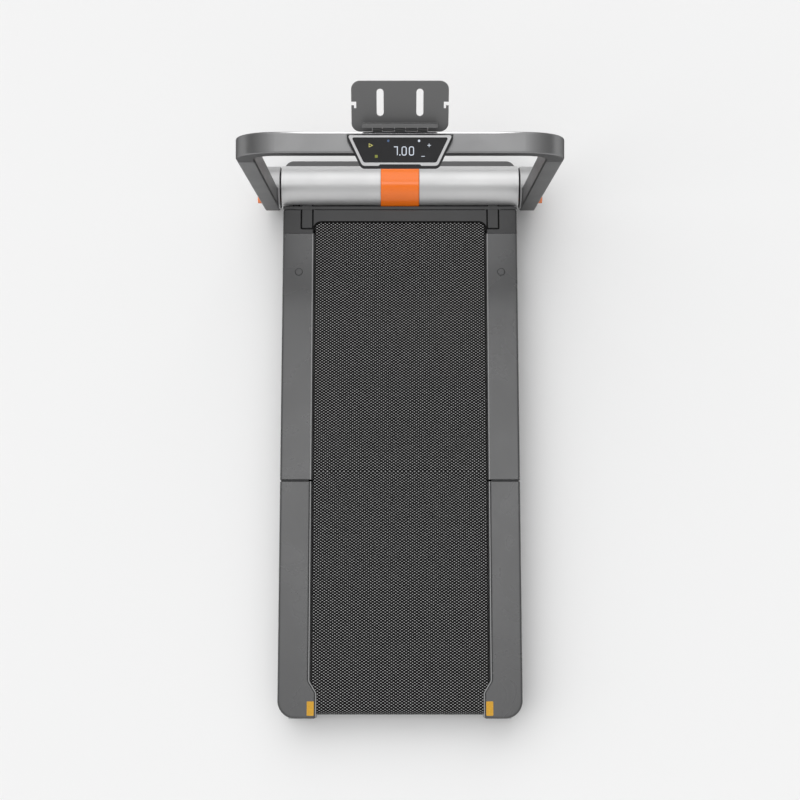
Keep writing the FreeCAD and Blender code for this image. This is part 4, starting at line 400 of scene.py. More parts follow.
@dataclass(frozen=True)
class GrainedFinish(Finish):
    """A finish with fine grain, a painted highlight on its soft edges and faint handling marks."""

    flecks_per_metre: float = 1400.0
    fleck_spread: float = 0.07
    grain_depth: float = 0.00003
    edge_radius: float = 0.0012
    # painted highlight: how much lighter the base colour is made along the edges
    painted_edge_highlight: float = 1.35
    patches_per_metre: float = 7.0
    roughness_spread: float = 0.08
    smoother_share: float = 0.5

    def surface(self, tree: ShaderTree) -> Inputs:
        """Lays out grain, a painted highlight on the edges and handling marks.

        Args:
            tree: the material's tree.

        Returns:
            The shader's sockets with their values or sources.
        """
        dark, light = 1.0 - self.fleck_spread, 1.0 + self.fleck_spread
        body, height = self.flecked(tree, self.flecks_per_metre, dark, light)
        edge = EFFECTS.place(tree, Effect.SOFT_EDGE, {"Radius": self.edge_radius})
        normal = edge.outputs["Normal"]
        if self.grain_depth > 0.0:
            normal = self.relief(tree, height, self.grain_depth, normal)
        marks = self.smudge(tree, self.patches_per_metre)
        smoothest = self.roughness - self.roughness_spread * self.smoother_share
        return {
            # painted highlight: the base colour is lighter where the edge mask runs
            "Base Color": tree.shade(edge.outputs["Edge"], body, self.tone(self.painted_edge_highlight)),
            "Roughness": tree.span(marks, smoothest, smoothest + self.roughness_spread),
            "Normal": normal,
            **self.plain(),
        }

    def plain(self) -> Inputs:
        """Returns the sockets that are the same all over the surface."""
        raise NotImplementedError(self.name)


@dataclass(frozen=True)
class MouldedPlastic(GrainedFinish):
    """Moulded plastic or rubber with the fine grain of its mould."""

    gloss: float = 0.5

    def plain(self) -> Inputs:
        """Returns the gloss."""
        return {"Specular IOR Level": self.gloss}


@dataclass(frozen=True)
class PaintedMetal(GrainedFinish):
    """Powder or metallic paint on steel, with flecks."""

    flecks_per_metre: float = 2600.0
    fleck_spread: float = 0.12
    grain_depth: float = 0.00001
    edge_radius: float = 0.001
    painted_edge_highlight: float = 1.3
    patches_per_metre: float = 9.0
    roughness_spread: float = 0.06
    smoother_share: float = 0.0
    metallic: float = 0.0
    rim_tint: Colour = WHITE

    def plain(self) -> Inputs:
        """Returns the share of metal and the tint of its rim."""
        return {"Metallic": self.metallic, "Specular Tint": self.rim_tint}


@dataclass(frozen=True)
class GlossEnamel(GrainedFinish):
    """Coloured gloss plastic under a clear, strongly reflecting coat."""

    flecks_per_metre: float = 900.0
    fleck_spread: float = 0.05
    grain_depth: float = 0.0
    edge_radius: float = 0.001
    painted_edge_highlight: float = 1.15
    patches_per_metre: float = 9.0
    roughness_spread: float = 0.05
    smoother_share: float = 0.0
    body_gloss: float = 0.0
    coat: float = 1.0
    coat_index: float = 1.6
    coat_roughness: float = 0.25

    def plain(self) -> Inputs:
        """Returns the gloss of the body and the values of the coat."""
        body = {"Specular IOR Level": self.body_gloss, "Coat Weight": self.coat}
        return {**body, "Coat IOR": self.coat_index, "Coat Roughness": self.coat_roughness}


@dataclass(frozen=True)
class BrushedMetal(Finish):
    """Bare metal with fine brushed lines."""

    lines_per_metre: Triple = (6.0, 3000.0, 3000.0)
    line_depth: float = 0.000004
    streak_spread: float = 0.06
    edge_radius: float = 0.0008

    def surface(self, tree: ShaderTree) -> Inputs:
        """Lays out brushed lines, softened edges and handling marks.

        Args:
            tree: the material's tree.

        Returns:
            The shader's sockets with their values or sources.
        """
        patches_per_metre, smudge_share, metal = 8.0, 0.06, 1.0
        spread = self.streak_spread
        lines = EFFECTS.place(tree, Effect.BRUSHED_LINES, {"Lines per Metre": self.lines_per_metre})
        edge = EFFECTS.place(tree, Effect.SOFT_EDGE, {"Radius": self.edge_radius})
        streak = lines.outputs["Streak"]
        streaked = tree.span(streak, self.roughness - spread, self.roughness + spread)
        handled = tree.math("MULTIPLY", self.smudge(tree, patches_per_metre), smudge_share)
        return {
            "Base Color": self.toned(tree, streak, 1.0 - spread, 1.0 + spread),
            "Metallic": metal,
            "Roughness": tree.math("ADD", streaked, handled),
            "Normal": self.relief(tree, streak, self.line_depth, edge.outputs["Normal"]),
        }


@dataclass(frozen=True)
class StuddedBelt(Finish):
    """Black running belt with staggered raised studs, laid out along the belt's own length."""

    stud_colour: Colour = (0.58, 0.58, 0.58)
    gloss: float = 0.12
    stud_pitch: float = 0.0102
    row_pitch: float = 0.0035
    stud_length: float = 0.004
    stud_width: float = 0.0014
    stud_height: float = 0.0004
    width: float = 0.43
    margin: float = 0.002
    layout: str = "belt_layout"

    def surface(self, tree: ShaderTree) -> Inputs:
        """Lays out the studs on a grained ground.

        Args:
            tree: the material's tree.

        Returns:
            The shader's sockets with their values or sources.
        """
        cells_per_metre, grain_depth, stud_roughness = 1800.0, 0.00004, 0.38
        groove_tone, crown_tone = 0.8, 1.2
        place = tree.add("ShaderNodeUVMap", {}, uv_map=self.layout).outputs["UV"]
        axes = tree.add("ShaderNodeSeparateXYZ", {"Vector": place})
        across = axes.outputs["X"]
        inside = tree.math(
            "LESS_THAN", tree.math("ABSOLUTE", across), self.width / 2 - self.margin
        )
        mask = tree.math("MULTIPLY", self.studs(tree, across, axes.outputs["Y"]), inside)
        ground, height = self.flecked(tree, cells_per_metre, groove_tone, crown_tone)
        grained = self.relief(tree, height, grain_depth)
        return {
            "Base Color": tree.shade(mask, ground, self.stud_colour),
            "Roughness": tree.span(mask, self.roughness, stud_roughness),
            "Specular IOR Level": self.gloss,
            "Normal": self.relief(tree, mask, self.stud_height, grained),
        }

    def studs(self, tree: ShaderTree, across: Socket, along: Socket) -> Socket:
        """Draws oval studs in rows, each row half a step aside from the last.

        Args:
            tree: the material's tree.
            across: the place across the belt.
            along: the place along it.

        Returns:
            A mask, 1 on the studs.
        """
        rows_in_step, half, soft, squared = 2.0, 0.5, 0.25, 2.0
        row = tree.math("DIVIDE", along, self.row_pitch)
        odd = tree.math("FLOORED_MODULO", tree.math("FLOOR", row), rows_in_step)
        step = tree.math("DIVIDE", across, self.stud_pitch)
        column = tree.math("ADD", step, tree.math("MULTIPLY", odd, half))
        side = self.centred(tree, column, self.stud_pitch / (self.stud_length / 2))
        end = self.centred(tree, row, self.row_pitch / (self.stud_width / 2))
        reach = tree.math(
            "ADD", tree.math("POWER", side, squared), tree.math("POWER", end, squared)
        )
        return tree.smooth_step(reach, 1.0 + soft, 1.0 - soft)

    @staticmethod
    def centred(tree: ShaderTree, cells: Socket, stretch: float) -> Socket:
        """Measures from the middle of a cell.

        Args:
            tree: the material's tree.
            cells: the place, counted in cells.
            stretch: the cell's size in half studs.

        Returns:
            The distance, 1 at the stud's edge.
        """
        middle = 0.5
        part = tree.math("SUBTRACT", tree.math("FRACT", cells), middle)
        return tree.math("MULTIPLY", part, stretch)


@dataclass(frozen=True)
class DarkGlass(Finish):
    """Black-backed cover glass with faint finger marks."""

    def surface(self, tree: ShaderTree) -> Inputs:
        """Lays out the finger marks.

        Args:
            tree: the material's tree.

        Returns:
            The shader's sockets with their values or sources.
        """
        patches_per_metre, marked = 30.0, 0.08
        clear_tone, marked_tone = 0.9, 1.15
        marks = self.smudge(tree, patches_per_metre)
        return {
            "Base Color": self.toned(tree, marks, clear_tone, marked_tone),
            "Roughness": tree.span(marks, self.roughness, self.roughness + marked),
        }


@dataclass(frozen=True)
class LitMark(Finish):
    """A backlit key or digit behind the glass, a little uneven as diffused light is."""

    strength: float = 1.0

    def surface(self, tree: ShaderTree) -> Inputs:
        """Lays out the uneven glow.

        Args:
            tree: the material's tree.

        Returns:
            The shader's sockets with their values or sources.
        """
        patches_per_metre, dim, bright = 90.0, 0.85, 1.0
        marks = self.smudge(tree, patches_per_metre)
        return {
            "Base Color": BLACK,
            "Roughness": self.roughness,
            "Emission Color": self.toned(tree, marks, dim, bright),
            "Emission Strength": self.strength,
        }


@dataclass(frozen=True)
class CircuitBoard(Finish):
    """Solder-masked board with faint copper runs."""

    run_colour: Colour = (0.02, 0.13, 0.06)
    runs_per_metre: float = 260.0

    def surface(self, tree: ShaderTree) -> Inputs:
        """Lays out the copper runs under the mask.

        Args:
            tree: the material's tree.

        Returns:
            The shader's sockets with their values or sources.
        """
        run_depth, threshold = 0.00004, 0.6
        spot = {"Vector": tree.place(), "Scale": self.runs_per_metre}
        bricks = tree.add("ShaderNodeTexVoronoi", spot, distance="CHEBYCHEV")
        run = tree.math("GREATER_THAN", bricks.outputs["Distance"], threshold)
        return {
            "Base Color": tree.shade(run, self.colour, self.run_colour),
            "Roughness": self.roughness,
            "Normal": self.relief(tree, run, run_depth),
        }


@dataclass(frozen=True)
class FloorPaint(Finish):
    """Plain matt paint of the studio floor, which isn't part of the object."""

    gloss: float = 0.0

    def surface(self, tree: ShaderTree) -> Inputs:
        """Returns the plain values of the floor's shader."""
        plain = {"Base Color": self.colour, "Roughness": self.roughness}
        return {**plain, "Specular IOR Level": self.gloss}


class Finishes:
    """The finishes of the pad and of the studio floor, by what they are on."""

    rail = MouldedPlastic(
        "rail_moulded",
        (0.042, 0.0425, 0.044),
        0.28,
        edge_radius=0.002,
        painted_edge_highlight=2.0,
        roughness_spread=0.03,
        gloss=1.0,
    )
    # painted highlight: light grey strip on the rails' inner edges
    rail_painted_highlight_lip = MouldedPlastic("rail_highlight_painted", (0.26, 0.26, 0.262), 0.3)
    cover = MouldedPlastic("cover_moulded", (0.041, 0.041, 0.042), 0.44, painted_edge_highlight=1.8)
    # painted shade: near-black sheets laid in the cover's gaps
    gap_shade = MouldedPlastic("gap_shade_painted", (0.003, 0.003, 0.003), 0.6, gloss=0.15)
    fairing = MouldedPlastic("fairing_moulded", (0.05, 0.05, 0.051), 0.34, gloss=0.9)
    tray = MouldedPlastic("tray_moulded", (0.03, 0.03, 0.031), 0.55)
    drive_rubber = MouldedPlastic("drive_rubber_moulded", (0.012, 0.012, 0.012), 0.65)
    foot_rubber = MouldedPlastic("foot_rubber_moulded", (0.03, 0.03, 0.03), 0.7)
    wheel_rubber = MouldedPlastic("wheel_moulded", (0.022, 0.022, 0.023), 0.6)
    inlet = MouldedPlastic("inlet_moulded", (0.014, 0.014, 0.015), 0.4)
    console_black = MouldedPlastic("console_moulded", (0.013, 0.013, 0.014), 0.4)
    board = MouldedPlastic("deck_board_film", (0.014, 0.014, 0.015), 0.5)
    frame_steel = PaintedMetal("frame_painted", (0.02, 0.02, 0.021), 0.45)
    upright = PaintedMetal(
        "upright_painted", (0.25, 0.251, 0.254), 0.36, metallic=1.0, rim_tint=(0.55, 0.55, 0.55)
    )
    # the uprights' dark paint, made lighter here as painted light for the top rail's brighter top
    bar = PaintedMetal(
        "bar_lit_copy_of_upright_paint",
        (0.31, 0.31, 0.313),
        0.36,
        metallic=1.0,
        rim_tint=(0.2, 0.2, 0.2),
        edge_radius=0.002,
        painted_edge_highlight=1.2,
    )
    tablet = PaintedMetal("tablet_painted", (0.135, 0.135, 0.136), 0.42, painted_edge_highlight=1.9)
    bright_steel = BrushedMetal("turned_steel", (0.55, 0.55, 0.56), 0.28)
    # painted highlight: bright strip on the top rail's front edge
    bar_highlight_strip = BrushedMetal("bar_edge_highlight_painted", (0.92, 0.92, 0.925), 0.25)
    housing = BrushedMetal("housing_brushed", (0.68, 0.68, 0.682), 0.4)
    hub = BrushedMetal("hub_brushed", (0.5, 0.5, 0.502), 0.42)
    console_silver = BrushedMetal("console_trim_brushed", (0.8, 0.8, 0.805), 0.34)
    band = GlossEnamel("band_enamel", screen_colour(254, 120, 16), 0.4)
    knob = GlossEnamel("knob_enamel", screen_colour(250, 142, 86), 0.42)
    patch = PaintedMetal(
        "patch_film", screen_colour(206, 154, 30), 0.4, flecks_per_metre=240.0, fleck_spread=0.3
    )
    belt = StuddedBelt("belt_studded", (0.004, 0.004, 0.004), 0.55)
    glass = DarkGlass("console_glass_dark", (0.012, 0.012, 0.013), 0.08)
    circuit = CircuitBoard("circuit_masked", (0.008, 0.075, 0.035), 0.4)
    lit_white = LitMark("lit_white", screen_colour(226, 234, 246), 0.4)
    lit_yellow = LitMark("lit_yellow", screen_colour(214, 208, 120), 0.4)
    lit_green = LitMark("lit_green", screen_colour(140, 146, 62), 0.4)
    lit_blue = LitMark("lit_blue", screen_colour(78, 102, 140), 0.4)
    floor = FloorPaint("floor_plain", (0.896, 0.896, 0.896), 0.9)


def dress(finish: Finish, *nodes: str) -> None:
    """Gives carried-over CAD nodes their finish.

    Args:
        finish: the finish.
        nodes: the CAD nodes' names.
    """
    for node in nodes:
        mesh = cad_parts[node].data
        mesh.materials.clear()
        mesh.materials.append(finish.material())
        log.info("dressed %s in %s", node, finish.name)


def finish_piece(piece: bpy.types.Object, finish: Finish, body: str = "") -> None:
    """Gives a new piece its finish in a material slot and, where one is given, its body.

    Args:
        piece: the new object, in place.
        finish: its finish.
        body: the CAD body it rides on, or nothing for a piece that spans two.
    """
    piece.data.materials.append(finish.material())
    if body:
        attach(piece, body)
    log.info("built %s", piece.name)


def mesh_piece(
    name: str, points: Sequence[Vector], faces: Sequence[Sequence[int]]
) -> bpy.types.Object:
    """Makes an object from points and faces, with its faces turned outwards.

    Args:
        name: the object's name.
        points: its vertices, in the shared frame.
        faces: vertex numbers of each face.

    Returns:
        The new object.
    """
    mesh = bpy.data.meshes.new(name)
    mesh.from_pydata([tuple(point) for point in points], [], [tuple(face) for face in faces])
    work = bmesh.new()
    work.from_mesh(mesh)
    bmesh.ops.recalc_face_normals(work, faces=work.faces)
    work.to_mesh(mesh)
    work.free()
    piece = bpy.data.objects.new(name, mesh)
    bpy.context.scene.collection.objects.link(piece)
    return piece


def skin(near: int, far: int, count: int) -> list[tuple[int, int, int, int]]:
    """Lists the faces between two rings of points.

    Args:
        near: the number of the first ring's first point.
        far: the number of the second ring's first point.
        count: the points in each ring.

    Returns:
        The vertex numbers of one face for each side of the rings.
    """
    nexts = [(number + 1) % count for number in range(count)]
    return [(near + i, near + j, far + j, far + i) for i, j in enumerate(nexts)]


def arc(centre: Point, radius: float, start: float, end: float, steps: int) -> list[Point]:
    """Works out points along an arc.

    Args:
        centre: the arc's centre.
        radius: its radius.
        start: its first angle.
        end: its last angle.
        steps: the number of equal parts.

    Returns:
        The points, both ends included.
    """
    angles = [math.radians(start + (end - start) * step / steps) for step in range(steps + 1)]
    return [(centre[0] + radius * math.cos(a), centre[1] + radius * math.sin(a)) for a in angles]


def circle(centre: Point, radius: float, steps: int) -> list[Point]:
    """Returns the points of a whole circle, each of them once."""
    return arc(centre, radius, 0.0, FULL_TURN, steps)[:-1]


def joined(outline: Sequence[Point]) -> list[Point]:
    """Returns an outline as a stroke that ends where it starts."""
    return [*outline, outline[0]]


def mirrored(line: Sequence[Point], sign: float) -> list[Point]:
    """Returns a line of the right side, or its mirror image where the sign is negative."""
    return [(sign * x, y) for x, y in line]


def rounded_rectangle(low: Point, high: Point, radius: float, steps: int = 5) -> list[Point]:
    """Works out the outline of a rectangle with round corners.

    Args:
        low: its lower left corner.
        high: its upper right corner.
        radius: the corners' radius.
        steps: parts in each corner.

    Returns:
        The outline's points, anticlockwise.
    """
    left, bottom = low[0] + radius, low[1] + radius
    right, top = high[0] - radius, high[1] - radius
    outline = []
    for number, centre in enumerate(((right, top), (left, top), (left, bottom), (right, bottom))):
        start = QUARTER_TURN * number
        outline += arc(centre, radius, start, start + QUARTER_TURN, steps)
    return outline


def rounded_line(corners: Sequence[Point], radius: float, steps: int = 4) -> list[Point]:
    """Works out an open line with its inner corners rounded.

    Args:
        corners: the line's points.
        radius: the radius at each inner corner.
        steps: parts in each corner.

    Returns:
        The line's points with the corners' curves.
    """
    line = [corners[0]]
    for before, corner, after in zip(corners, corners[1:], corners[2:]):
        here = Vector(corner)
        back = (Vector(before) - here).normalized()
        ahead = (Vector(after) - here).normalized()
        turn = math.pi - back.angle(ahead)
        start = here + back * (radius * math.tan(turn / 2))
        end = here + ahead * (radius * math.tan(turn / 2))
        for step in range(steps + 1):
            share = step / steps
            line.append(tuple(start.lerp(here, share).lerp(here.lerp(end, share), share)))
    return [*line, corners[-1]]


@dataclass(frozen=True)
class Facet:
    """A flat face of the frame, with its own two directions and its normal."""

    origin: Vector
    across: Vector
    up: Vector
    normal: Vector
    reach: float = 0.0

    @classmethod
    def level(cls, height: float, along: float = 0.0) -> "Facet":
        """Returns a level face at a height, with its origin on the middle line."""
        return cls(Vector((0.0, along, height)), X_AXIS, Y_AXIS, Z_AXIS)

    @classmethod
    def of_node(cls, node: str, facing: Vector) -> "Facet":
        """Finds a CAD node's largest flat face that looks a given way, the outermost of equals.

        Args:
            node: the CAD node's name.
            facing: the direction that the face looks towards.

        Returns:
            The face, with its origin at the middle of its lower edge.
        """
        same_way, towards, same_plane, digits = 0.999, 0.5, 0.0001, 6
        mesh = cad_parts[node].data
        faces = [face for face in mesh.polygons if face.normal.dot(facing) > towards]
        largest = max(faces, key=lambda face: (round(face.area, digits), face.center.dot(facing)))
        normal = largest.normal.copy()
        depth = largest.center.dot(normal)
        parallel = [face for face in faces if face.normal.dot(normal) > same_way]
        flat = [face for face in parallel if abs(face.center.dot(normal) - depth) < same_plane]
        points = [mesh.vertices[number].co for face in flat for number in face.vertices]
        across = X_AXIS
        up = normal.cross(across)
        sides = [point.dot(across) for point in points]
        heights = [point.dot(up) for point in points]
        origin = across * ((min(sides) + max(sides)) / 2) + up * min(heights) + normal * depth
        return cls(origin, across, up, normal, max(heights) - min(heights))

    def place(self, point: Point, lift: float) -> Vector:
        """Returns a point of the face, lifted off it along its normal."""
        return self.origin + self.across * point[0] + self.up * point[1] + self.normal * lift

    def plate(self, name: str, outline: Sequence[Point], thickness: float) -> bpy.types.Object:
        """Makes a thin plate that lies on the face.

        Args:
            name: the piece's name.
            outline: its outline on the face.
            thickness: its thickness; it is let in by half of it.

        Returns:
            The new object.
        """
        count = len(outline)
        low = [self.place(point, -thickness / 2) for point in outline]
        high = [self.place(point, thickness / 2) for point in outline]
        ends = [range(count), range(count, 2 * count)]
        return mesh_piece(name, low + high, [*ends, *skin(0, count, count)])

    def ribbon(
        self, name: str, strokes: Sequence[Sequence[Point]], width: float, thickness: float
    ) -> bpy.types.Object:
        """Makes strokes of one width that lie on the face, closed where the ends meet.

        Args:
            name: the piece's name.
            strokes: the middle lines.
            width: the strokes' width.
            thickness: their thickness; they are let in by half of it.

        Returns:
            The new object.
        """
        section = ((1, 1), (-1, 1), (-1, -1), (1, -1))
        size = len(section)
        points: list[Vector] = []
        faces: list[Sequence[int]] = []
        for stroke in strokes:
            closed = stroke[0] == stroke[-1]
            line = stroke[:-1] if closed else stroke
            first, count = len(points), len(line)
            last = first + size * (count - 1)
            for number, point in enumerate(line):
                offset = self.mitre(line, number, width / 2, closed)
                for side, lift in section:
                    moved = (point[0] + side * offset[0], point[1] + side * offset[1])
                    points.append(self.place(moved, lift * thickness / 2))
            for near in range(first, last, size):
                faces += skin(near, near + size, size)
            if closed:
                faces += skin(last, first, size)
            else:
                faces += [range(first, first + size), range(last, last + size)]
        return mesh_piece(name, points, faces)

    @staticmethod
    def mitre(line: Sequence[Point], number: int, half_width: float, closed: bool) -> Point:
        """Works out where a stroke's edge lies beside one of its points.

        Args:
            line: the stroke's points.
            number: the point's number.
            half_width: half of the stroke's width.
            closed: whether the last point joins the first.

        Returns:
            The offset from the point to the edge on its left.
        """
        count = len(line)
        here = Vector(line[number])
        ways = []
        if closed or number > 0:
            ways.append((here - Vector(line[number - 1])).normalized())
        if closed or number < count - 1:
            ways.append((Vector(line[(number + 1) % count]) - here).normalized())
        sides = [Vector((-way.y, way.x)) for way in ways]
        middle = sum(sides, Vector((0.0, 0.0))).normalized()
        reach = half_width / middle.dot(sides[0])
        return middle.x * reach, middle.y * reach


@dataclass
class Deck:
    """The two halves of the deck with their rails, boards, frames, trays, feet and hinges."""

    patch_inner: float = 207 * MM
    patch_outer: float = 224 * MM
    patch_length: float = 34 * MM
    patch_from_end: float = 7 * MM
    patch_corner: float = 2 * MM
    patch_thickness: float = 0.3 * MM
    lip_width: float = 2.6 * MM
    lip_thickness: float = 0.6 * MM
    lip_overhang: float = 1.6 * MM
    step_from_end: float = 61 * MM
    step_length: float = 28 * MM
    step_depth: float = 17 * MM
    step_radius: float = 12 * MM
    end_gap: float = 4 * MM
    ring_gap: float = 0.5 * MM
    ring_width: float = 1.4 * MM
    ring_thickness: float = 0.3 * MM
    ring_steps: int = 36

    def build(self) -> None:
        """Dresses the deck; adds painted-highlight rail lips, painted-shade bumper rings and tail
        patches.
        """
        rails = [f"{half}_{side}_rail" for half in ("front", "rear") for side, _ in SIDES]
        steel = ["front_frame", "rear_frame", "front_hinges", "rear_hinges", "wheel_brackets"]
        dress(Finishes.rail, *rails, "rail_bumpers")
        dress(Finishes.board, "front_deck_board", "rear_deck_board")
        dress(Finishes.tray, "front_tray", "rear_tray")
        dress(Finishes.foot_rubber, "front_feet", "rear_feet")
        dress(Finishes.frame_steel, *steel)
        dress(Finishes.wheel_rubber, "left_wheel", "right_wheel")
        self.add_lips()
        self.add_rings()
        self.add_patches()

    def add_lips(self) -> None:
        """Adds the thin lip along the inner edge of each rail, painted light grey as a highlight on
        that edge.
        """
        front_low, front_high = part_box("front_right_rail")
        rear_low, rear_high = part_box("rear_right_rail")
        top = Facet.level(front_high.z)
        inner = front_low.x + self.lip_width / 2 - self.lip_overhang
        step_end = rear_low.y + self.step_from_end
        front = [(inner, front_low.y), (inner, front_high.y)]
        corners = [
            (inner, rear_high.y),
            (inner, step_end + self.step_length),
            (inner - self.step_depth, step_end),
            (inner - self.step_depth, rear_low.y + self.end_gap),
        ]
        rear = rounded_line(corners, self.step_radius)
        for half, line, body in (("front", front, "base"), ("rear", rear, "rear_deck")):
            for side, sign in SIDES:
                strokes = [mirrored(line, sign)]
                name = f"{half}_{side}_rail_lip"
                lip = top.ribbon(name, strokes, self.lip_width, self.lip_thickness)
                # the lip's light grey is a painted highlight on the rail's inner edge
                finish_piece(lip, Finishes.rail_painted_highlight_lip, body)

    def add_rings(self) -> None:
        """Adds a dark ring round each bumper of the front rails, painted shade in the gap round it.
        """
        low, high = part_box("rail_bumpers")
        radius = (high.y - low.y) / 2
        centre = (high.x - radius, (low.y + high.y) / 2)
        ring = circle(centre, radius + self.ring_gap, self.ring_steps)
        top = Facet.level(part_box("front_left_rail")[1].z)
        for side, sign in SIDES:
            strokes = [joined(mirrored(ring, sign))]
            name = f"{side}_bumper_shade_ring"
            piece = top.ribbon(name, strokes, self.ring_width, self.ring_thickness)
            # near-black ring is painted shade in the gap round the bumper
            finish_piece(piece, Finishes.drive_rubber, "base")

    def add_patches(self) -> None:
        """Adds a plain yellow patch near the end of each rail."""
        low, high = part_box("rear_left_rail")
        top = Facet.level(high.z, low.y + self.patch_from_end)
        near, far = (self.patch_inner, 0.0), (self.patch_outer, self.patch_length)
        outline = rounded_rectangle(near, far, self.patch_corner)
        for side, sign in SIDES:
            name = f"{side}_tail_patch"
            patch = top.plate(name, mirrored(outline, sign), self.patch_thickness)
            finish_piece(patch, Finishes.patch, "rear_deck")


@dataclass
class RunningBelt:
    """The running belt as one loop with close points across the fold, with its rollers and idlers.
    """

    thickness: float = 2 * MM
    clearance: float = 0.3 * MM
    edge: float = 0.5 * MM
    bend_reach: float = 12 * MM
    bend_step: float = 2 * MM
    sharp_angle: float = 35.0
    roller_steps: int = 28
    idler_steps: int = 6

    def build(self) -> None:
        """Builds the loop and dresses what it runs on."""
        for end in ("front", "rear"):
            turning = [f"{end}_roller", f"{end}_roller_bearings", f"{end}_idler"]
            dress(Finishes.bright_steel, *turning, f"{end}_roller_shaft")
        dress(Finishes.bright_steel, "tension_bolts")
        belt = self.loop(self.path())
        finish_piece(belt, Finishes.belt)
        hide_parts("front_belt", "rear_belt")
        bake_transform(belt)

    @staticmethod
    def wheel(node: str) -> tuple[Vector, float]:
        """Returns the centre, in Y and Z, and the radius of a roller."""
        low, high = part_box(node)
        return Vector(((low.y + high.y) / 2, (low.z + high.z) / 2)), (high.z - low.z) / 2

    def path(self) -> list[Vector]:
        """Works out the loop's inner line over the rollers and idlers.

        Returns:
            Points in Y and Z, from the fold over the tail and the front back to it.
        """
        front, front_radius = self.wheel("front_roller")
        rear, rear_radius = self.wheel("rear_roller")
        front_idler, idler_radius = self.wheel("front_idler")
        rear_idler, _ = self.wheel("rear_idler")
        front_wrap = front_radius + self.clearance
        rear_wrap = rear_radius + self.clearance
        idler_wrap = idler_radius + self.clearance + self.thickness
        rear_turn = self.crossing_angle(rear, rear_wrap, rear_idler, idler_wrap)
        front_turn = self.crossing_angle(front, front_wrap, front_idler, idler_wrap)
        fold_y = (front_idler.x + rear_idler.x) / 2
        points = [
            *self.fold_points(fold_y, rear.y + rear_wrap, -1.0),
            *arc(rear, rear_wrap, UPWARDS, DOWNWARDS + rear_turn, self.roller_steps),
            *arc(rear_idler, idler_wrap, UPWARDS + rear_turn, UPWARDS, self.idler_steps),
            *self.fold_points(fold_y, rear_idler.y + idler_wrap, 1.0),
            *arc(front_idler, idler_wrap, UPWARDS, UPWARDS - front_turn, self.idler_steps),
            *arc(front, front_wrap, DOWNWARDS - front_turn, FULL_TURN + UPWARDS, self.roller_steps),
        ]
        return [Vector(point) for point in points]

    @staticmethod
    def crossing_angle(roller: Vector, wrap: float, idler: Vector, idler_wrap: float) -> float:
        """Works out how far the belt leans between a roller's foot and an idler's top.

        Args:
            roller: the roller's centre.
            wrap: the belt's radius on the roller.
            idler: the idler's centre.
            idler_wrap: the belt's radius on the idler.

        Returns:
            The lean.
        """
        run = abs(idler.x - roller.x)
        rise = idler.y - roller.y
        reach = math.hypot(run, rise)
        return math.degrees(math.atan2(rise, run) + math.asin((wrap + idler_wrap) / reach))

    def fold_points(self, middle: float, height: float, way: float) -> list[Point]:
        """Sets close points across the fold, so that the belt can bend there.

        Args:
            middle: the fold's place along the deck.
            height: the height of the run.
            way: 1 for points that go towards the motor end, -1 for the tail.

        Returns:
            The points in Y and Z.
        """
        reach = 2 * self.bend_reach
        steps = range(round(2 * reach / self.bend_step) + 1)
        return [(middle + way * (step * self.bend_step - reach), height) for step in steps]

    def loop(self, path: Sequence[Vector]) -> bpy.types.Object:
        """Sweeps the belt's section along its path and lays out its surface in metres.

        Args:
            path: the inner line in Y and Z.

        Returns:
            The belt.
        """
        low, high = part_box("front_belt")
        half = (high.x - low.x) / 2
        flat, ease = half - self.edge, self.edge / self.thickness
        section = [(-flat, 1.0), (flat, 1.0), (half, 1.0 - ease), (half, ease)]
        section += [(flat, 0.0), (-flat, 0.0), (-half, ease), (-half, 1.0 - ease)]
        count, sides = len(path), len(section)
        points = []
        faces = []
        for number, here in enumerate(path):
            out = self.outwards(path, number)
            for across, share in section:
                spot = here + out * (share * self.thickness)
                points.append(Vector((across, spot.x, spot.y)))
            faces += skin(sides * number, sides * ((number + 1) % count), sides)
        belt = mesh_piece("running_belt", points, faces)
        belt.data.shade_smooth()
        belt.data.set_sharp_from_angle(angle=math.radians(self.sharp_angle))
        self.lay_out(belt, path, sides)
        return belt

    @staticmethod
    def outwards(path: Sequence[Vector], number: int) -> Vector:
        """Works out the direction out of the loop at one of its points.

        Args:
            path: the inner line in Y and Z.
            number: the point's number.

        Returns:
            The direction in Y and Z.
        """
        following = path[(number + 1) % len(path)]
        way = (following - path[number - 1]).normalized()
        return Vector((way.y, -way.x))

    @staticmethod
    def lay_out(belt: bpy.types.Object, path: Sequence[Vector], sides: int) -> None:
        """Writes each corner's place across and along the belt.

        Args:
            belt: the swept belt.
            path: its inner line.
            sides: points in its section.
        """
        lengths = [0.0]
        for here, following in zip(path, [*path[1:], path[0]]):
            lengths.append(lengths[-1] + (following - here).length)
        layout = belt.data.uv_layers.new(name=Finishes.belt.layout)
        for face in belt.data.polygons:
            stations = [number // sides for number in face.vertices]
            wraps = max(stations) - min(stations) > 1
            for corner, station in zip(face.loop_indices, stations):
                along = lengths[-1] if wraps and station == 0 else lengths[station]
                across = belt.data.vertices[belt.data.loops[corner].vertex_index].co.x
                layout.data[corner].uv = (across, along)


class Drive:
    """Motor, pulleys, drive belt, electronics, inlet and switch."""

    def build(self) -> None:
        """Dresses the drive."""
        dress(Finishes.frame_steel, "motor_body")
        dress(Finishes.bright_steel, "motor_shaft", "motor_pulley", "roller_pulley")
        dress(Finishes.drive_rubber, "drive_belt")
        dress(Finishes.circuit, "control_board")
        dress(Finishes.inlet, "power_inlet", "power_switch")


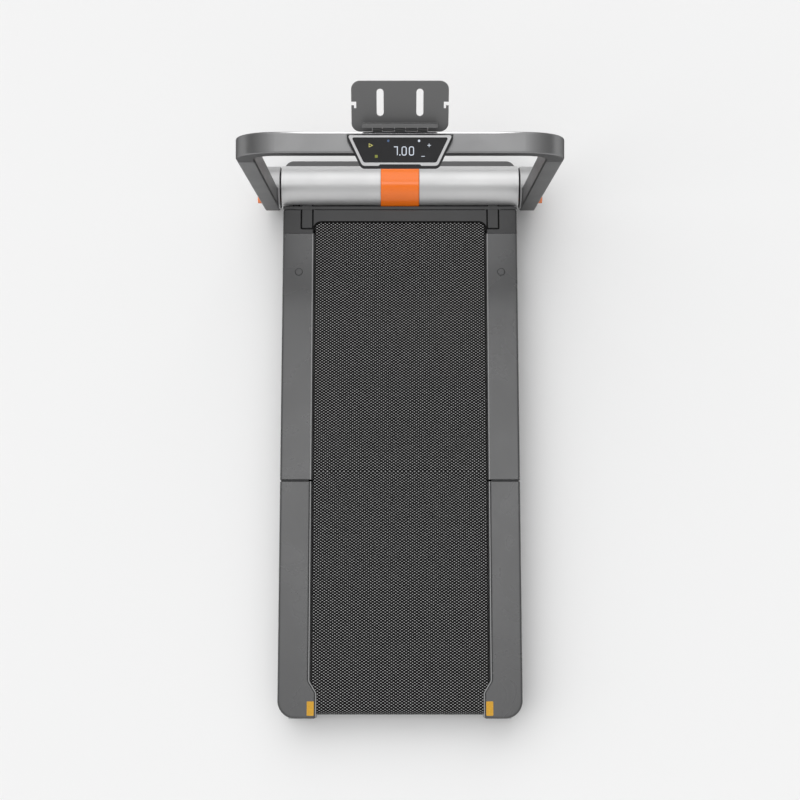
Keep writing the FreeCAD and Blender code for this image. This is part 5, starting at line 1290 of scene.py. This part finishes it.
@dataclass
class MotorHousing:
    """The silver housing with its band, its seats, the fairing and the front cover."""

    lip_below: float = 1.2 * MM
    lip_thickness: float = 2.4 * MM
    lip_reach: float = 7.5 * MM
    lip_corner: float = 1.5 * MM
    arm_gap: float = 4.0 * MM
    arm_shade_below: float = 5.0 * MM
    arm_shade_width: float = 4.6 * MM
    arm_shade_thickness: float = 2.0 * MM
    arm_shade_corner: float = 3.0 * MM
    opening_setback: float = 31.0 * MM
    opening_corner: float = 26.0 * MM
    opening_shade_end: float = 1.0 * MM
    opening_shade_below: float = 1.3 * MM
    opening_shade_width: float = 7.0 * MM
    opening_shade_thickness: float = 1.0 * MM
    opening_steps: int = 10

    def build(self) -> None:
        """Dresses the housing and adds the cover's lip and dark sheets of painted shade in its
        gaps.
        """
        dress(Finishes.housing, "left_motor_cover", "right_motor_cover")
        dress(Finishes.band, "centre_band")
        dress(Finishes.cover, "front_cover", "cover_supports", "support_arms")
        dress(Finishes.fairing, "front_fairing")
        dress(Finishes.frame_steel, "end_plates")
        self.add_lip()
        self.add_arm_gap_shades()
        self.add_opening_gap_shade()

    def add_lip(self) -> None:
        """Adds the lip that closes the gap between the front cover and the housing."""
        low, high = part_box("front_cover")
        top = Facet.level(high.z - self.lip_below - self.lip_thickness / 2, high.y)
        outline = rounded_rectangle((low.x, 0.0), (high.x, self.lip_reach), self.lip_corner)
        lip = top.plate("cover_front_lip", outline, self.lip_thickness)
        finish_piece(lip, Finishes.cover, "base")

    def add_arm_gap_shades(self) -> None:
        """Adds a dark sheet in the gap round each support arm, painted shade where that gap falls
        dark.
        """
        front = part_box("front_cover")[1]
        low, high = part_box("support_arms")
        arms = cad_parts["support_arms"].data
        middle = self.arm_gap / 2
        inner = min(point.co.x for point in arms.vertices if point.co.x > 0.0) - middle
        outer, rear = high.x + middle, low.y - middle
        corners = [(inner, front.y), (inner, rear), (outer, rear), (outer, front.y)]
        line = rounded_line(corners, self.arm_shade_corner)
        level = Facet.level(front.z - self.arm_shade_below)
        width, thickness = self.arm_shade_width, self.arm_shade_thickness
        for side, sign in SIDES:
            gap_shade = level.ribbon(f"{side}_arm_painted_shade", [mirrored(line, sign)], width, thickness)
            # near-black sheet is painted shade in the gap round the arm
            finish_piece(gap_shade, Finishes.gap_shade, "base")

    def add_opening_gap_shade(self) -> None:
        """Adds a dark sheet along the cover's edge over the belt, painted shade along that edge."""
        low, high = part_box("front_cover")
        half = -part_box("front_left_rail")[1].x
        start, front = low.y + self.opening_shade_end, high.y - self.opening_setback
        corners = [(half, start), (half, front), (-half, front), (-half, start)]
        line = rounded_line(corners, self.opening_corner, self.opening_steps)
        level = Facet.level(high.z - self.opening_shade_below)
        width, thickness = self.opening_shade_width, self.opening_shade_thickness
        gap_shade = level.ribbon("belt_opening_painted_shade", [line], width, thickness)
        # near-black sheet is painted shade along the opening's edge
        finish_piece(gap_shade, Finishes.gap_shade, "base")


@dataclass
class Handrail:
    """Uprights, bent top rail, hubs, axles and pull knobs."""

    bar_corner: float = 3.6 * MM
    bend_radius: float = 88.0 * MM
    highlight_strip_width: float = 3.4 * MM
    highlight_strip_thickness: float = 0.9 * MM
    highlight_strip_lean: float = 20.0
    highlight_strip_taper: float = 60.0 * MM

    def build(self) -> None:
        """Dresses the handrail and adds the bright strip of painted highlight on the top rail's
        front edge.
        """
        dress(Finishes.upright, "left_upright", "right_upright")
        dress(Finishes.bar, "top_rail")
        dress(Finishes.cover, "upright_end_caps", "rail_spigots")
        dress(Finishes.hub, "handrail_hubs")
        dress(Finishes.bright_steel, "handrail_axles")
        dress(Finishes.knob, "left_lock_knob", "right_lock_knob")
        self.add_highlight_strip()

    def add_highlight_strip(self) -> None:
        """Adds a bright strip along the front edge of the top rail, a painted highlight where that
        edge catches the light.
        """
        top = Facet.of_node("top_rail", Z_AXIS)
        lean = math.radians(self.highlight_strip_lean)
        slope = top.up * math.sin(lean) + top.normal * math.cos(lean)
        centre = top.origin + top.up * top.reach - top.normal * self.bar_corner
        edge = Facet(centre + slope * self.bar_corner, X_AXIS, slope.cross(X_AXIS), slope)
        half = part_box("top_rail")[1].x - self.bend_radius
        full, wide = half - self.highlight_strip_taper, self.highlight_strip_width / 2
        outline = [(-half, 0.0), (-full, -wide), (full, -wide)]
        outline += [(half, 0.0), (full, wide), (-full, wide)]
        trim = edge.plate("top_rail_highlight_strip", outline, self.highlight_strip_thickness)
        # the bright strip is a painted highlight on the top rail's rounded front edge
        finish_piece(trim, Finishes.bar_highlight_strip, "handrail")


@dataclass
class Console:
    """The console with its trim, glass, touch keys and speed digits."""

    mark_thickness: float = 0.2 * MM
    bezel_width: float = 3.4 * MM
    bezel_below: float = 3.0 * MM
    bezel_drop: float = 3.0 * MM
    bezel_thickness: float = 2.0 * MM
    bezel_step: float = 0.3 * MM
    key_stroke: float = 1.2 * MM
    digit_low: float = 15.2 * MM
    digit_high: float = 32.0 * MM
    digit_stroke: float = 1.8 * MM
    digit_corner: float = 3.2 * MM
    seven_from: float = -12.4 * MM
    seven_to: float = -5.4 * MM
    zeros_from: tuple[float, ...] = (4.2 * MM, 19.2 * MM)
    zero_width: float = 8.6 * MM
    point_from: float = -1.4 * MM
    point_size: float = 2.4 * MM
    start_key: Point = (-60.0 * MM, 35.0 * MM)
    stop_key: Point = (-48.7 * MM, 12.6 * MM)
    mode_light: Point = (-24.0 * MM, 44.2 * MM)
    state_light: Point = (39.0 * MM, 44.2 * MM)
    faster_key: Point = (59.7 * MM, 35.0 * MM)
    slower_key: Point = (47.4 * MM, 12.6 * MM)
    key_reach: float = 3.6 * MM
    start_half: float = 3.3 * MM
    start_back: float = 3.3 * MM
    stop_half: float = 2.9 * MM
    corner_share: float = 0.25
    light_radius: float = 2.5 * MM
    light_steps: int = 20
    face: Facet = field(init=False)

    def build(self) -> None:
        """Dresses the console and adds its dark rim and its lit marks."""
        dress(Finishes.console_silver, "console_frame")
        dress(Finishes.console_black, "console_housing")
        dress(Finishes.glass, "console_glass")
        dress(Finishes.circuit, "console_board")
        self.face = Facet.of_node("console_glass", Z_AXIS)
        self.add_bezel()
        self.add_digits()
        self.add_keys()

    def drawn(
        self, name: str, strokes: Sequence[Sequence[Point]], width: float, finish: Finish
    ) -> None:
        """Adds a lit mark that is drawn in strokes."""
        piece = self.face.ribbon(name, strokes, width, self.mark_thickness)
        finish_piece(piece, finish, "handrail")

    def filled(self, name: str, outline: Sequence[Point], finish: Finish) -> None:
        """Adds a lit mark that is filled."""
        piece = self.face.plate(name, outline, self.mark_thickness)
        finish_piece(piece, finish, "handrail")

    def add_bezel(self) -> None:
        """Adds the black rim that stands out below the bright frame."""
        front = Facet.of_node("console_frame", Z_AXIS)
        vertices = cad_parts["console_frame"].data.vertices
        places = [vertex.co - front.origin for vertex in vertices]
        flat = [Vector((place.dot(front.across), place.dot(front.up))) for place in places]
        hull = [flat[number] for number in convex_hull_2d(flat)]
        pairs = zip(hull, hull[-1:] + hull)
        outline = [tuple(here) for here, last in pairs if (here - last).length > self.bezel_step]
        highest = max(point[1] for point in outline)
        rim = []
        for number, point in enumerate(outline):
            offset = Facet.mitre(outline, number, -self.bezel_width, True)
            rim.append((point[0] + offset[0], min(point[1] + offset[1], highest)))
        lowered = front.origin - front.normal * self.bezel_below - front.up * self.bezel_drop
        level = Facet(lowered, front.across, front.up, front.normal)
        bezel = level.plate("console_bezel", rim, self.bezel_thickness)
        finish_piece(bezel, Finishes.console_black, "handrail")

    def add_digits(self) -> None:
        """Adds the digits 7.00 of a speed display."""
        low, high = self.digit_low, self.digit_high
        strokes = [[(self.seven_from, high), (self.seven_to, high), (self.seven_to, low)]]
        for start in self.zeros_from:
            corner = (start + self.zero_width, high)
            strokes.append(joined(rounded_rectangle((start, low), corner, self.digit_corner)))
        self.drawn("speed_digits", strokes, self.digit_stroke, Finishes.lit_white)
        size = self.point_size
        left, bottom = self.point_from, low - self.digit_stroke / 2
        corner = (left + size, bottom + size)
        dot = rounded_rectangle((left, bottom), corner, size * self.corner_share)
        self.filled("speed_point", dot, Finishes.lit_white)

    def add_keys(self) -> None:
        """Adds the touch keys and the two small lights."""
        reach, width = self.key_reach, self.key_stroke
        x, y = self.start_key
        back, half = x - self.start_back, self.start_half
        play = [(back, y - half), (x + reach, y), (back, y + half)]
        self.drawn("start_key", [joined(play)], width, Finishes.lit_yellow)
        x, y = self.stop_key
        half = self.stop_half
        low, high = (x - half, y - half), (x + half, y + half)
        square = rounded_rectangle(low, high, half * self.corner_share)
        self.filled("stop_key", square, Finishes.lit_green)
        x, y = self.faster_key
        plus = [[(x - reach, y), (x + reach, y)], [(x, y - reach), (x, y + reach)]]
        self.drawn("faster_key", plus, width, Finishes.lit_white)
        x, y = self.slower_key
        self.drawn("slower_key", [[(x - reach, y), (x + reach, y)]], width, Finishes.lit_white)
        for name, centre, finish in (
            ("mode_light", self.mode_light, Finishes.lit_blue),
            ("state_light", self.state_light, Finishes.lit_white),
        ):
            self.filled(name, circle(centre, self.light_radius, self.light_steps), finish)


class TabletHolder:
    """The tablet plate and its hinge bracket."""

    def build(self) -> None:
        """Dresses the holder."""
        dress(Finishes.tablet, "tablet_plate", "tablet_bracket")


@dataclass(frozen=True)
class StudioPanel:
    """One distant soft panel of light, with its azimuth from +X."""

    name: str
    azimuth: float
    elevation: float
    spread: float
    strength: float
    mirrored: bool = True

    def hang(self) -> None:
        """Adds the panel, looking at the object from its azimuth and elevation."""
        lamp = bpy.data.lights.new(self.name, "SUN")
        lamp.energy = self.strength
        lamp.angle = math.radians(self.spread)
        panel = bpy.data.objects.new(self.name, lamp)
        turn, rise = math.radians(self.azimuth), math.radians(self.elevation)
        flat = math.cos(rise)
        towards = Vector((math.cos(turn) * flat, math.sin(turn) * flat, math.sin(rise)))
        panel.rotation_euler = towards.to_track_quat("Z", "Y").to_euler()
        panel.visible_glossy = self.mirrored
        bpy.context.scene.collection.objects.link(panel)


@dataclass(frozen=True)
class LightBox:
    """One soft round light box on the sky, leaning from straight up towards the motor end."""

    lean: float
    strength: float
    inner: float = 18.0
    outer: float = 36.0

    def level(self, tree: ShaderTree, way: Socket) -> Socket:
        """Draws the box.

        Args:
            tree: the sky's tree.
            way: the direction that is looked along.

        Returns:
            The box's level in that direction.
        """
        lean = math.radians(self.lean)
        middle = Vector((0.0, math.sin(lean), math.cos(lean)))
        match = tree.add("ShaderNodeVectorMath", {0: way, 1: middle}, operation="DOT_PRODUCT")
        edge, full = (math.cos(math.radians(angle)) for angle in (self.outer, self.inner))
        share = tree.smooth_step(match.outputs["Value"], edge, full)
        return tree.math("MULTIPLY", share, self.strength)


@dataclass
class Studio:
    """Pale floor, soft light and the camera at the photograph's viewing angle."""

    floor_half: float = 120.0
    horizon_level: float = 0.2
    zenith_rise: float = 0.56
    boxes: tuple[LightBox, ...] = (LightBox(50.0, 1.05), LightBox(-64.0, 0.52))
    panels: tuple[StudioPanel, ...] = (
        StudioPanel("left_panel", 170.0, 45.0, 80.0, 1.32, mirrored=False),
        StudioPanel("overhead_panel", 90.0, 83.0, 9.0, 0.11),
    )
    camera_place: Triple = (0.0, -0.6192, 4.1201)
    camera_tilt: float = 9.77
    lens_mm: float = 74.1
    sensor_mm: float = 36.0

    def build(self) -> None:
        """Sets up the floor, the light and the camera."""
        self.lay_floor()
        self.light()
        self.set_camera()
        bpy.context.scene.view_settings.view_transform = "Standard"

    def lay_floor(self) -> None:
        """Lays the plain pale floor under the object."""
        half, level = self.floor_half, CAD_BOX[0][2]
        corners = [(-half, -half), (half, -half), (half, half), (-half, half)]
        points = [Vector((x, y, level)) for x, y in corners]
        floor = mesh_piece("floor", points, [range(len(corners))])
        floor.data.materials.append(Finishes.floor.material())

    def light(self) -> None:
        """Hangs the panels and sets the graded sky with its light boxes."""
        for panel in self.panels:
            panel.hang()
        world = bpy.data.worlds.new("studio_sky")
        world.use_nodes = True
        world.node_tree.nodes.clear()
        tree = ShaderTree(world.node_tree)
        way = tree.add("ShaderNodeTexCoord", {}).outputs["Generated"]
        rise = tree.add("ShaderNodeSeparateXYZ", {"Vector": way}).outputs["Z"]
        zenith = tree.math("MULTIPLY", tree.math("MULTIPLY", rise, rise), self.zenith_rise)
        level = tree.math("ADD", zenith, self.horizon_level)
        for box in self.boxes:
            level = tree.math("ADD", level, box.level(tree, way))
        sky = tree.add("ShaderNodeBackground", {"Color": WHITE, "Strength": level})
        tree.add("ShaderNodeOutputWorld", {"Surface": sky.outputs["Background"]})
        bpy.context.scene.world = world

    def set_camera(self) -> None:
        """Sets the camera above the tail, looking down and a little forwards."""
        view = bpy.data.cameras.new("photo_camera")
        view.sensor_fit = "HORIZONTAL"
        view.sensor_width = self.sensor_mm
        view.lens = self.lens_mm
        camera = bpy.data.objects.new("photo_camera", view)
        camera.location = self.camera_place
        camera.rotation_euler = (math.radians(self.camera_tilt), 0.0, 0.0)
        bpy.context.scene.collection.objects.link(camera)
        bpy.context.scene.camera = camera


def main() -> None:
    """Builds the sub-assemblies in order, then the studio."""
    logging.basicConfig(level=logging.INFO, format="%(message)s")
    pad = (Deck(), RunningBelt(), Drive(), MotorHousing(), Handrail(), Console(), TabletHolder())
    for assembly in (*pad, Studio()):
        log.info("assembly %s", type(assembly).__name__)
        assembly.build()


if __name__ == "__main__":
    main()
